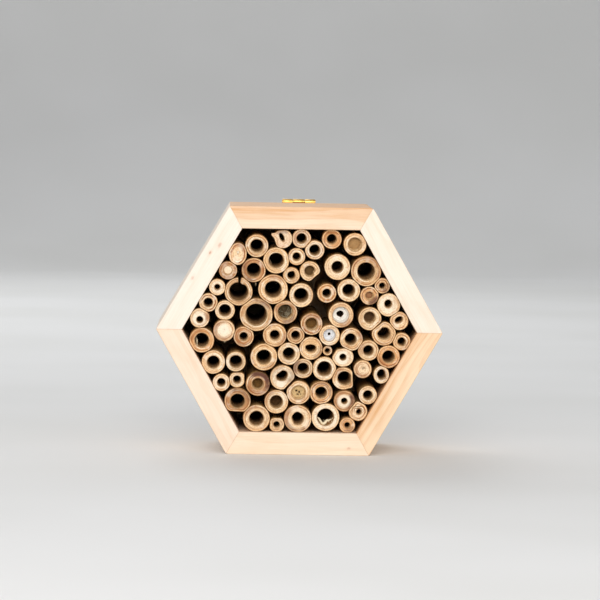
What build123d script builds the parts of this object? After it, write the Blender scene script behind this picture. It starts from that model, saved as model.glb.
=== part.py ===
from build123d import *
import math
import os

# An insect hotel: a six-sided wooden tube, open at the front, packed with cut bamboo canes.
# The house stands on its bottom stave.  X runs left to right, Y runs from the open front (-Y)
# to the closed back (+Y) and Z runs up.  The origin is the middle of the underside.
# All sizes are in millimetres.

# ---------------------------------------------------------------- the six-sided tube
across_flats = 150.0        # outside, from the underside to the roof
house_depth = 85.0          # front edges to back edges of the staves
stave_thickness = 13.5
corner_rounding = {         # rounding of each outside corner, by its direction in degrees
    0: 1.2,
    60: 3.6,
    120: 1.2,
    180: 1.2,
    240: 2.2,
    300: 2.0,
}

# ---------------------------------------------------------------- the back
panel_thickness = 3.0
rebate_width = 5.0          # how far the rebate for the panel is cut into each stave
panel_clearance = 0.3       # between the panel's edge and the rebate, all round
nail_radius = 0.6
nail_length = 14.0
nail_head_radius = 1.3
nail_head_thickness = 0.5
nail_spacing = 40.0         # between the two nails of one side
fastener_clearance = 0.02   # round a driven nail or screw

# ---------------------------------------------------------------- the hanging hinge
hinge_length = 20.0
leaf_thickness = 0.8
leaf_height = 8.0           # from the pin's axis to the leaf's free edge
knuckle_radius = 1.6
knuckle_gap = 0.3           # between neighbouring knuckles, and from a leaf to a knuckle
middle_knuckle_length = 7.0
pin_radius = 0.8
pin_clearance = 0.05        # radial, in every knuckle
pin_head_radius = 1.2
pin_head_thickness = 0.4
axis_above_roof = 0.7
leaf_hole_radius = 1.25     # in the fixed leaf, for the hinge's own screws
hanging_hole_radius = 1.5   # in the free leaf, for the screws in a wall
countersink_width = 0.45    # round each hole, wider than the hole by this
countersink_depth = 0.45
leaf_hole_spacing = 12.0
leaf_hole_drop = 4.6        # from the pin's axis down to the holes
screw_radius = 1.0
screw_head_radius = 1.6
screw_length = 8.0          # under the leaf's outer face

# ---------------------------------------------------------------- the canes
# The filling is drawn for this cavity and grows or shrinks with it.
drawn_cavity_flats = 123.0
drawn_centre_height = 75.0
cane_gap = 0.1              # left between neighbouring canes and along the staves
node_wall_thickness = 2.5   # the natural wall across a cane
thinnest_cane_wall = 0.8
single_cane_diameter = 13.3  # a cane this wide has a node of its own, thinner ones are bundled
bundle_side = 20.0          # left and right bundles lie further out than this
bundle_heights = (60.0, 100.0)
split_width = 1.5           # the crack along the one split cane

# Each cane: middle x, middle z, outside (width, height), bore (width, height), how far its
# mouth stands back from the front, and how deep its bore runs to a node wall.  A depth of
# None is a bore that is open as far as the back panel.  The rows run from the roof down.
canes = [
    (-10.9, 130.5, (11.5, 11.5), (2.6, 4.8), 3.0, 18.0),
    (0.4, 130.8, (11.5, 11.5), (6.2, 6.2), 4.0, None),
    (18.7, 130.7, (12.0, 12.0), (6.0, 6.0), 5.0, None),
    (32.7, 127.8, (13.8, 13.8), (8.4, 8.4), 3.0, 3.5),
    (-26.5, 126.0, (14.0, 14.0), (8.0, 8.0), 3.5, None),
    (8.4, 124.1, (11.7, 11.7), (6.5, 6.5), 2.5, None),
    (-38.0, 121.0, (11.0, 13.5), (0.0, 0.0), 2.0, 0.0),
    (-14.7, 117.4, (15.8, 15.8), (9.1, 9.1), 2.0, None),
    (-2.4, 119.8, (10.5, 10.5), (4.9, 4.9), 4.0, 30.0),
    (22.3, 114.0, (15.7, 15.7), (7.2, 7.2), 2.5, 34.0),
    (39.7, 111.7, (18.2, 18.2), (10.8, 10.8), 3.0, None),
    (5.7, 111.2, (12.2, 12.2), (6.6, 6.6), 3.0, 5.0),
    (-28.2, 111.3, (14.7, 14.7), (8.6, 8.6), 3.0, None),
    (-43.7, 110.9, (11.0, 11.0), (5.0, 5.0), 2.5, 0.6),
    (-5.4, 108.4, (10.2, 10.2), (4.8, 4.8), 4.5, None),
    (-50.0, 100.7, (10.0, 10.0), (3.6, 3.6), 3.0, 25.0),
    (-37.1, 98.1, (17.0, 17.0), (11.7, 11.7), 4.0, None),
    (-16.3, 100.0, (18.0, 18.0), (10.2, 10.2), 2.0, None),
    (0.7, 96.6, (14.6, 14.6), (8.6, 8.6), 2.5, None),
    (16.2, 98.0, (11.6, 11.6), (5.3, 5.3), 4.0, None),
    (29.4, 100.0, (13.8, 13.8), (7.5, 7.5), 2.5, None),
    (42.0, 96.9, (11.2, 11.2), (4.9, 4.9), 3.5, 2.5),
    (49.7, 103.0, (9.4, 9.4), (3.9, 3.9), 4.0, None),
    (53.7, 91.5, (14.0, 14.0), (4.6, 5.0), 3.0, None),
    (-55.3, 91.3, (11.3, 11.3), (5.6, 5.6), 3.5, None),
    (-45.2, 86.7, (12.0, 12.0), (7.2, 7.2), 3.5, None),
    (-26.2, 84.4, (20.0, 20.0), (13.0, 13.0), 3.0, None),
    (-8.6, 86.1, (14.3, 14.3), (9.4, 9.4), 3.0, 6.0),
    (7.3, 79.3, (13.4, 13.4), (7.6, 7.6), 2.5, 6.0),
    (24.9, 85.0, (15.3, 15.3), (9.8, 9.8), 2.5, 3.0),
    (42.5, 83.0, (14.1, 14.1), (7.0, 7.0), 2.5, 7.0),
    (60.3, 81.9, (11.2, 11.2), (5.2, 3.8), 4.0, None),
    (-60.3, 81.8, (11.8, 11.8), (4.2, 4.2), 3.0, None),
    (-45.5, 74.6, (13.2, 13.2), (0.0, 0.0), 3.0, 0.0),
    (-33.6, 71.0, (12.4, 12.4), (5.2, 5.2), 4.0, None),
    (-58.9, 68.5, (15.2, 15.2), (8.8, 8.8), 3.0, None),
    (-14.8, 72.2, (14.3, 14.3), (6.0, 6.0), 3.0, None),
    (-2.2, 72.2, (10.6, 10.6), (5.4, 5.4), 4.0, None),
    (18.2, 72.7, (12.6, 12.6), (7.2, 7.2), 2.5, 2.5),
    (31.5, 70.4, (13.9, 13.9), (7.0, 7.0), 2.5, None),
    (51.1, 74.1, (14.6, 14.6), (7.2, 6.6), 3.0, 26.0),
    (62.0, 69.4, (10.8, 10.8), (5.0, 5.0), 4.0, None),
    (-51.7, 55.3, (14.3, 14.3), (7.7, 7.7), 3.0, None),
    (-38.1, 55.9, (12.1, 12.1), (7.6, 7.6), 2.0, None),
    (-21.2, 58.8, (16.3, 16.3), (8.8, 8.8), 3.0, None),
    (-6.1, 61.0, (13.6, 13.6), (7.4, 7.4), 3.5, None),
    (7.2, 64.5, (14.0, 14.0), (6.5, 4.8), 3.0, 20.0),
    (17.2, 63.1, (5.9, 5.9), (3.2, 3.2), 5.0, None),
    (26.6, 59.5, (13.0, 11.8), (4.2, 4.2), 3.0, 28.0),
    (41.9, 63.8, (12.6, 12.6), (6.2, 6.2), 3.0, None),
    (54.2, 60.1, (13.9, 13.9), (7.5, 7.5), 3.5, None),
    (-46.7, 43.0, (10.6, 10.6), (5.0, 5.0), 3.5, None),
    (-37.2, 44.8, (9.7, 9.7), (4.8, 4.8), 4.0, None),
    (-24.6, 42.5, (14.6, 14.6), (7.0, 7.0), 3.0, 6.0),
    (-9.8, 46.6, (15.0, 15.0), (6.6, 6.6), 2.5, None),
    (2.7, 52.2, (12.0, 12.0), (6.9, 6.9), 4.0, None),
    (15.5, 52.3, (14.4, 14.4), (8.8, 8.8), 3.0, None),
    (27.1, 46.6, (13.7, 13.7), (8.4, 8.2), 3.0, None),
    (38.7, 52.4, (11.0, 11.0), (0.0, 0.0), 3.0, 0.0),
    (50.0, 49.1, (9.5, 10.8), (5.2, 6.0), 3.5, None),
    (-36.7, 31.9, (16.0, 16.0), (9.0, 9.0), 2.5, None),
    (-13.2, 31.8, (14.4, 14.4), (7.9, 7.9), 3.0, 9.0),
    (0.1, 37.6, (14.4, 14.4), (8.5, 8.5), 3.0, 2.5),
    (13.8, 37.8, (14.0, 14.0), (6.9, 6.9), 3.0, None),
    (27.9, 32.9, (12.8, 12.8), (3.8, 3.8), 3.0, None),
    (42.1, 36.7, (11.2, 11.2), (5.8, 5.8), 2.5, None),
    (36.4, 26.5, (11.3, 11.3), (3.2, 3.2), 3.5, 24.0),
    (-25.1, 21.6, (16.4, 16.4), (8.9, 8.9), 3.0, None),
    (-12.8, 17.9, (9.3, 9.3), (3.9, 3.9), 4.0, None),
    (-0.1, 21.7, (16.7, 16.7), (7.3, 7.3), 3.0, None),
    (16.7, 22.9, (17.0, 17.0), (10.2, 10.2), 3.0, None),
    (30.0, 18.1, (9.6, 9.6), (3.6, 3.6), 4.0, None),
]
split_cane = 17             # counted from 1: this cane has cracked open along its top
bore_shifts = {             # bores off the middle of their cane, to the right and up
    1: (-0.6, 0.8),
    24: (-0.3, 0.7),
    31: (-0.2, 0.8),
    32: (-0.2, 0.6),
    33: (0.0, -1.0),
    40: (-0.4, 0.0),
    41: (-0.3, 0.5),
    55: (-0.4, 1.1),
    58: (0.7, 0.1),
    67: (0.4, -0.2),
}

# ---------------------------------------------------------------- what follows from them
half_depth = house_depth / 2
centre_height = across_flats / 2
cavity_flats = across_flats - 2 * stave_thickness
panel_flats = cavity_flats + 2 * (rebate_width - panel_clearance)
panel_face = half_depth - panel_thickness
filling_scale = cavity_flats / drawn_cavity_flats
hinge_axis_y = half_depth + knuckle_radius
hinge_axis_z = across_flats + axis_above_roof
stave_names = {             # each stave lies anticlockwise of the corner in this direction
    0: "stave_upper_right",
    60: "stave_top",
    120: "stave_upper_left",
    180: "stave_lower_left",
    240: "stave_bottom",
    300: "stave_lower_right",
}


# ---------------------------------------------------------------- helpers
def along_y(face, front, back):
    """A prism between two depths from a face drawn as seen from the front."""
    seat = Plane.XZ.offset(-back)
    return extrude(seat * face, amount=back - front)


def from_centre(distance, degrees):
    """The point of the front view at this distance and direction from the house's middle."""
    turn = math.radians(degrees)
    return (distance * math.cos(turn), centre_height + distance * math.sin(turn))


def hexagon(flats):
    """A six-sided face with corners at the left and right."""
    reach = flats / 2 / math.cos(math.radians(30))
    corners = [from_centre(reach, degrees) for degrees in corner_rounding]
    return Polygon(*corners, align=None)


def rounded_hexagon():
    """The outside of the house, with each corner worn round by its own amount."""
    face = hexagon(across_flats)
    reach = across_flats / 2 / math.cos(math.radians(30))
    for degrees, radius in corner_rounding.items():
        x, z = from_centre(reach, degrees)
        corner = face.vertices().sort_by_distance((x, z, 0))[0]
        face = fillet(corner, radius=radius)
    return face


def rod(radius, x, z, front, back):
    """A round bar along Y."""
    return along_y(Pos(x, z) * Circle(radius), front, back)


def pin_bar(radius, x_start, x_end):
    """A round bar on the hinge's axis."""
    bar = Cylinder(radius, x_end - x_start, align=(Align.CENTER, Align.CENTER, Align.MIN))
    return Pos(x_start, hinge_axis_y, hinge_axis_z) * Rot(0, 90, 0) * bar


def block(x_range, y_range, z_range):
    """A box given by its lowest and highest X, Y and Z."""
    sizes = [high - low for low, high in (x_range, y_range, z_range)]
    corner = Pos(x_range[0], y_range[0], z_range[0])
    return corner * Box(*sizes, align=(Align.MIN, Align.MIN, Align.MIN))


# ---------------------------------------------------------------- the staves and the back
def nail_places():
    """Where the back's nails go in: two on each side, over the middle of the rebate."""
    middle = cavity_flats / 2 + rebate_width / 2
    places = []
    for degrees in corner_rounding:
        facing = math.radians(degrees + 30)
        for shift in (-nail_spacing / 2, nail_spacing / 2):
            x = middle * math.cos(facing) - shift * math.sin(facing)
            z = middle * math.sin(facing) + shift * math.cos(facing)
            places.append((x, centre_height + z))
    return places


def screw_places():
    """Where the hinge's screws go into the top stave."""
    z = hinge_axis_z - leaf_hole_drop
    return [(-leaf_hole_spacing / 2, z), (leaf_hole_spacing / 2, z)]


def nail_holes():
    """The holes that the nails fill, through the panel and into the staves."""
    radius = nail_radius + fastener_clearance
    front = half_depth - nail_length - fastener_clearance
    return [rod(radius, x, z, front, half_depth) for x, z in nail_places()]


def screw_holes():
    """The holes that the hinge's screws fill."""
    radius = screw_radius + fastener_clearance
    front = half_depth + leaf_thickness - screw_length - fastener_clearance
    return [rod(radius, x, z, front, half_depth) for x, z in screw_places()]


def make_staves():
    """Six mitred staves, each rebated at the back for the panel."""
    ring = along_y(rounded_hexagon() - hexagon(cavity_flats), -half_depth, half_depth)
    ring -= along_y(hexagon(cavity_flats + 2 * rebate_width), panel_face, half_depth)
    staves = {}
    for degrees, name in stave_names.items():
        middle = (0, centre_height)
        this_corner = from_centre(across_flats, degrees)
        next_corner = from_centre(across_flats, degrees + 60)
        wedge = Polygon(middle, this_corner, next_corner, align=None)
        stave = ring & along_y(wedge, -half_depth, half_depth)
        stave -= nail_holes()
        if name == "stave_top":
            stave -= screw_holes()
        staves[name] = stave
    return staves


def make_back_panel():
    """The thin board let into the back."""
    return along_y(hexagon(panel_flats), panel_face, half_depth) - nail_holes()


def make_nails():
    """The flat-headed nails that hold the back panel, as separate solids."""
    nails = []
    for x, z in nail_places():
        shank = rod(nail_radius, x, z, half_depth - nail_length, half_depth)
        head = rod(nail_head_radius, x, z, half_depth, half_depth + nail_head_thickness)
        nails.append(shank + head)
    return nails


# ---------------------------------------------------------------- the hanging hinge
def leaf_hole(x, inner_face, outward, radius):
    """A countersunk hole through a leaf, widest at the face that the leaves turn to each other."""
    z = hinge_axis_z - leaf_hole_drop
    outer_face = inner_face + outward * leaf_thickness
    low, high = sorted((inner_face, outer_face))
    hole = rod(radius, x, z, low, high)
    cone = Cone(
        radius,
        radius + countersink_width,
        countersink_depth,
        align=(Align.CENTER, Align.CENTER, Align.MAX),
    )
    mouth = Pos(x, inner_face, z) * Rot(outward * 90, 0, 0) * cone
    return hole + mouth


def make_leaf(inner_face, outward, knuckles, cut_outs, hole_radius):
    """One leaf: a plate with a barrel at each of its knuckles, cut away at the others."""
    half_length = hinge_length / 2
    y_range = sorted((inner_face, inner_face + outward * leaf_thickness))
    leaf = block(
        (-half_length, half_length),
        y_range,
        (hinge_axis_z - leaf_height, hinge_axis_z),
    )
    clear = knuckle_radius + knuckle_gap
    for x_start, x_end in cut_outs:
        leaf -= block(
            (x_start, x_end),
            (hinge_axis_y - clear, hinge_axis_y + clear),
            (hinge_axis_z - clear, hinge_axis_z + clear),
        )
    for x_start, x_end in knuckles:
        leaf += pin_bar(knuckle_radius, x_start, x_end)
    leaf -= pin_bar(pin_radius + pin_clearance, -half_length, half_length)
    for x, _ in screw_places():
        leaf -= leaf_hole(x, inner_face, outward, hole_radius)
    return leaf


def make_hinge():
    """A small butt hinge: one leaf on the back of the top stave, one free to swing up."""
    half_length = hinge_length / 2
    half_middle = middle_knuckle_length / 2
    outer_start = half_middle + knuckle_gap
    middle = [(-half_middle, half_middle)]
    outer = [(-half_length, -outer_start), (outer_start, half_length)]
    middle_cut = [(-outer_start, outer_start)]
    outer_cut = [(-half_length, -half_middle), (half_middle, half_length)]
    fixed_inner_face = half_depth + leaf_thickness
    free_inner_face = hinge_axis_y + knuckle_radius - leaf_thickness
    fixed_leaf = make_leaf(fixed_inner_face, -1, outer, middle_cut, leaf_hole_radius)
    free_leaf = make_leaf(free_inner_face, 1, middle, outer_cut, hanging_hole_radius)
    head_start = half_length + pin_clearance
    head_end = head_start + pin_head_thickness
    pin = pin_bar(pin_radius, -head_end, head_end)
    pin += pin_bar(pin_head_radius, head_start, head_end)
    pin += pin_bar(pin_head_radius, -head_end, -head_start)
    return {
        "hinge_fixed_leaf": fixed_leaf,
        "hinge_free_leaf": free_leaf,
        "hinge_pin": pin,
    }


def make_screws():
    """The two countersunk screws of the fixed leaf, flush with its face."""
    screws = []
    face = half_depth + leaf_thickness
    for x, z in screw_places():
        head = Cone(
            screw_head_radius - countersink_width,
            screw_head_radius,
            countersink_depth,
            align=(Align.CENTER, Align.CENTER, Align.MAX),
        )
        shank = rod(screw_radius, x, z, face - screw_length, face)
        screws.append(shank + Pos(x, face, z) * Rot(-90, 0, 0) * head)
    return screws


# ---------------------------------------------------------------- the canes
def reach_towards(outside, facing):
    """How far a round or oval cane reaches from its middle towards a direction."""
    width, height = outside
    return math.hypot(width / 2 * math.cos(facing), height / 2 * math.sin(facing))


def find_flats(filling, index):
    """Where a cane is pressed flat by its neighbours or a stave: each flat's direction, and
    its distance from the cane's middle."""
    x, z, outside = filling[index]
    flats = []
    for other, (other_x, other_z, other_outside) in enumerate(filling):
        if other == index:
            continue
        apart = math.hypot(other_x - x, other_z - z)
        facing = math.atan2(other_z - z, other_x - x)
        reach = reach_towards(outside, facing)
        other_reach = reach_towards(other_outside, facing)
        if reach + other_reach + cane_gap > apart:
            flats.append((facing, (apart + reach - other_reach - cane_gap) / 2))
    for corner in corner_rounding:
        facing = math.radians(corner + 30)
        from_middle = x * math.cos(facing) + (z - centre_height) * math.sin(facing)
        room = cavity_flats / 2 - from_middle - cane_gap
        if reach_towards(outside, facing) > room:
            flats.append((facing, room))
    return flats


def oval(width, height):
    """A round or oval face."""
    if width == height:
        return Circle(width / 2)
    return Ellipse(width / 2, height / 2)


def make_cane(x, z, outside, bore, setback, depth, flats, is_split):
    """One cane, glued to the back panel, with its mouth a little inside the house's front."""
    mouth = -half_depth + setback
    outline = oval(*outside)
    beyond = max(outside)
    for facing, distance in flats:
        pressed_off = Pos(distance + beyond / 2, 0) * Rectangle(beyond, 2 * beyond)
        outline -= Rot(0, 0, math.degrees(facing)) * pressed_off
    cane = along_y(Pos(x, z) * outline, mouth, panel_face)
    if depth == 0.0:
        return cane
    width, height, shift_x, shift_z = bore
    hole = Pos(x + shift_x, z + shift_z) * oval(width, height)
    if depth is None:
        cane -= along_y(hole, mouth, panel_face)
    else:
        cane -= along_y(hole, mouth, mouth + depth)
        cane -= along_y(hole, mouth + depth + node_wall_thickness, panel_face)
    if is_split:
        side = split_width / 2
        above = z + max(outside)
        cane -= block((x - side, x + side), (mouth, panel_face), (z + shift_z, above))
    return cane


def fitted_bore(bore, shift, outside, flats):
    """A bore in its place, kept inside the cane's thinnest wall: width, height and shift."""
    width, height = (size * filling_scale for size in bore)
    shift_x, shift_z = (size * filling_scale for size in shift)
    walls = [min(outside) / 2] + [distance for _, distance in flats]
    room = min(walls) - thinnest_cane_wall - math.hypot(shift_x, shift_z)
    return (min(width, 2 * room), min(height, 2 * room), shift_x, shift_z)


def bundle_name(x, z):
    """The name of the thin canes' bundle by where it lies."""
    low, high = bundle_heights
    height = "low" if z < low else "middle" if z < high else "high"
    side = "left" if x < -bundle_side else "right" if x > bundle_side else "centre"
    return f"thin_canes_{height}_{side}"


def make_canes():
    """Every cane, under its own name or its bundle's."""
    filling = []
    for x, z, outside, _, _, _ in canes:
        height = centre_height + (z - drawn_centre_height) * filling_scale
        grown = tuple(size * filling_scale for size in outside)
        filling.append((x * filling_scale, height, grown))
    nodes = {}
    for index, (drawn_x, drawn_z, drawn_outside, bore, setback, depth) in enumerate(canes):
        x, z, outside = filling[index]
        number = index + 1
        flats = find_flats(filling, index)
        shift = bore_shifts.get(number, (0.0, 0.0))
        hole = fitted_bore(bore, shift, outside, flats)
        cane = make_cane(x, z, outside, hole, setback, depth, flats, number == split_cane)
        if max(drawn_outside) >= single_cane_diameter:
            nodes[f"cane_{number:02d}"] = [cane]
        else:
            nodes.setdefault(bundle_name(drawn_x, drawn_z), []).append(cane)
    return nodes


# ---------------------------------------------------------------- write every piece
def write_node(name, solids):
    """Save one node, whose solids stay separate."""
    pieces = [solid for piece in solids for solid in piece.solids()]
    shape = pieces[0] if len(pieces) == 1 else Compound(children=pieces)
    shape.label = name
    export_step(shape, f"parts/{name}.step")


os.makedirs("parts", exist_ok=True)
for name, stave in make_staves().items():
    write_node(name, [stave])
write_node("back_panel", [make_back_panel()])
write_node("back_panel_nails", make_nails())
for name, piece in make_hinge().items():
    write_node(name, [piece])
write_node("hinge_screws", make_screws())
for name, solids in make_canes().items():
    write_node(name, solids)
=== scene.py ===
import math
import random

import bmesh
import bpy
import numpy as np
from mathutils import Matrix, Vector, noise


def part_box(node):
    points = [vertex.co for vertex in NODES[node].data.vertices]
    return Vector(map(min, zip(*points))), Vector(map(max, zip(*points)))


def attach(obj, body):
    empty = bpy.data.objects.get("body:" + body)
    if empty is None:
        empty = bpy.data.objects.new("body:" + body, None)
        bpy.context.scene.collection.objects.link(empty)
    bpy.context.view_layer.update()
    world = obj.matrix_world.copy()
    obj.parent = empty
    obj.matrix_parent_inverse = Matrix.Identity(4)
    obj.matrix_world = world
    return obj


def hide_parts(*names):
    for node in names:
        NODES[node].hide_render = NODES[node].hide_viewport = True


# An insect hotel: six softwood staves round a filling of cut bamboo canes.
# Lengths with a name in capitals are in millimetres, and mesh points are in metres.

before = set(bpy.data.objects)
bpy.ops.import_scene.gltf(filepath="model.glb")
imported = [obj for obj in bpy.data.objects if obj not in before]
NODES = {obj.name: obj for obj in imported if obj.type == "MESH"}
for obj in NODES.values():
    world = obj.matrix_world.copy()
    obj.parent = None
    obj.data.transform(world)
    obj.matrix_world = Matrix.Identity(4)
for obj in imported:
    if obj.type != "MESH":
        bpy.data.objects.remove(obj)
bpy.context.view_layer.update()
MM = 0.001

# ---------------------------------------------------------------- sizes read from the frame
STAVE_NAMES = {  # each stave's outward direction in degrees, as seen from the front
    30: "stave_upper_right",
    90: "stave_top",
    150: "stave_upper_left",
    210: "stave_lower_left",
    270: "stave_bottom",
    330: "stave_lower_right",
}
ACROSS_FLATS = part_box("stave_top")[1].z / MM
FRONT_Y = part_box("stave_top")[0].y / MM
BACK_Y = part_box("stave_top")[1].y / MM
STAVE = (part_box("stave_bottom")[1].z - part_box("stave_bottom")[0].z) / MM
PANEL_FACE_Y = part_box("back_panel")[0].y / MM
PANEL_FLATS = (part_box("back_panel")[1].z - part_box("back_panel")[0].z) / MM
PANEL_CLEARANCE = 0.3
CENTRE_Z = ACROSS_FLATS / 2
CAVITY_FLATS = ACROSS_FLATS - 2 * STAVE
REBATE = (PANEL_FLATS - CAVITY_FLATS) / 2 + PANEL_CLEARANCE
CORNER_ROUNDING = {0: 1.2, 60: 3.6, 120: 1.2, 180: 1.2, 240: 2.2, 300: 2.0}
TAN30 = math.tan(math.radians(30))
METAL_EDGE = 0.1            # how far the hinge's and the nails' edges are rounded


# ---------------------------------------------------------------- small helpers
def linear(red, green, blue):
    """A colour given in 0 to 255 as the linear values that shaders use."""
    channels = []
    for value in (red, green, blue):
        value = value / 255
        channels.append(value / 12.92 if value <= 0.04045 else ((value + 0.055) / 1.055) ** 2.4)
    return (*channels, 1.0)


def smooth_step(low, high, value):
    """0 below low, 1 above high, and smooth between."""
    share = np.clip((value - low) / (high - low), 0.0, 1.0)
    return share * share * (3 - 2 * share)


def harmonics(angles, rng, lowest, highest, size):
    """A smooth closed wobble round a ring, between -size and size."""
    total = np.zeros_like(angles)
    weights = 0.0
    for count in range(lowest, highest + 1):
        weight = 1.0 / count
        total += weight * np.sin(count * angles + rng.uniform(0, 2 * math.pi))
        weights += weight
    return size * total / weights


def make_object(name, points, faces, body, smooth=True):
    """A mesh object from points in millimetres, riding on a body."""
    mesh = bpy.data.meshes.new(name)
    mesh.from_pydata([tuple(np.asarray(p) * MM) for p in points], [], faces)
    mesh.update()
    for polygon in mesh.polygons:
        polygon.use_smooth = smooth
    piece = bpy.data.objects.new(name, mesh)
    bpy.context.scene.collection.objects.link(piece)
    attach(piece, body)
    return piece


def store(piece, name, kind, values):
    """Keeps one value for each point of a piece, for its material to read."""
    layer = piece.data.attributes.new(name, kind, "POINT")
    key = {"FLOAT": "value", "FLOAT_VECTOR": "vector", "FLOAT_COLOR": "color"}[kind]
    layer.data.foreach_set(key, np.asarray(values, np.float32).ravel())


def outward_normals(piece):
    """Turns every face of a closed piece to face outwards."""
    work = bmesh.new()
    work.from_mesh(piece.data)
    bmesh.ops.recalc_face_normals(work, faces=work.faces)
    work.to_mesh(piece.data)
    work.free()


# ---------------------------------------------------------------- material helpers
class Recipe:
    """A material being built: a Principled shader and the nodes that feed it."""

    def __init__(self, name):
        self.material = bpy.data.materials.new(name)
        self.material.use_nodes = True
        self.tree = self.material.node_tree
        self.shader = self.tree.nodes["Principled BSDF"]

    def node(self, kind, inputs=(), **settings):
        """A node with its settings, and constants or links on its inputs."""
        made = self.tree.nodes.new(kind)
        for key, value in settings.items():
            setattr(made, key, value)
        for socket, value in dict(inputs).items():
            self.feed(made.inputs[socket], value)
        return made

    def feed(self, socket, value):
        """Links another node's output to a socket, or sets the socket's own value."""
        if isinstance(value, bpy.types.NodeSocket):
            self.tree.links.new(value, socket)
        else:
            socket.default_value = value

    def attribute(self, name, output="Fac"):
        """A value kept on the mesh."""
        return self.node("ShaderNodeAttribute", attribute_name=name).outputs[output]

    def math(self, operation, first, second=0.0, clamp=False):
        """One sum on two values."""
        made = self.node("ShaderNodeMath", {0: first, 1: second}, operation=operation)
        made.use_clamp = clamp
        return made.outputs[0]

    def vector(self, operation, first, second):
        """One sum on two vectors."""
        made = self.node("ShaderNodeVectorMath", {0: first, 1: second}, operation=operation)
        return made.outputs["Value" if operation in ("LENGTH", "DISTANCE") else "Vector"]

    def noise(self, coordinates, scale, detail=3.0, roughness=0.5, distortion=0.0):
        """Soft noise between 0 and 1."""
        inputs = {
            "Vector": coordinates,
            "Scale": scale,
            "Detail": detail,
            "Roughness": roughness,
            "Distortion": distortion,
        }
        return self.node("ShaderNodeTexNoise", inputs).outputs["Fac"]

    def ramp(self, value, low, high, low_result=0.0, high_result=1.0):
        """A smooth step from one result to another."""
        inputs = {
            "Value": value,
            "From Min": low,
            "From Max": high,
            "To Min": low_result,
            "To Max": high_result,
        }
        made = self.node("ShaderNodeMapRange", inputs, interpolation_type="SMOOTHSTEP")
        return made.outputs["Result"]

    def mix(self, share, first, second, blend="MIX"):
        """One colour over another."""
        made = self.node("ShaderNodeMix", data_type="RGBA", blend_type=blend)
        self.feed(made.inputs[0], share)
        self.feed(made.inputs[6], first)
        self.feed(made.inputs[7], second)
        return made.outputs[2]

    def bump(self, height, distance, strength=1.0, under=None):
        """Fine relief, with a distance in millimetres."""
        inputs = {"Height": height, "Distance": distance * MM, "Strength": strength}
        made = self.node("ShaderNodeBump", inputs)
        if under is not None:
            self.feed(made.inputs["Normal"], under)
        return made.outputs["Normal"]

    def finish(self, colour, roughness, normal=None, **constants):
        """Connects the finished colour, roughness and relief to the shader."""
        self.feed(self.shader.inputs["Base Color"], colour)
        self.feed(self.shader.inputs["Roughness"], roughness)
        if normal is not None:
            self.feed(self.shader.inputs["Normal"], normal)
        for name, value in constants.items():
            self.shader.inputs[name.replace("_", " ")].default_value = value
        return self.material


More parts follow.
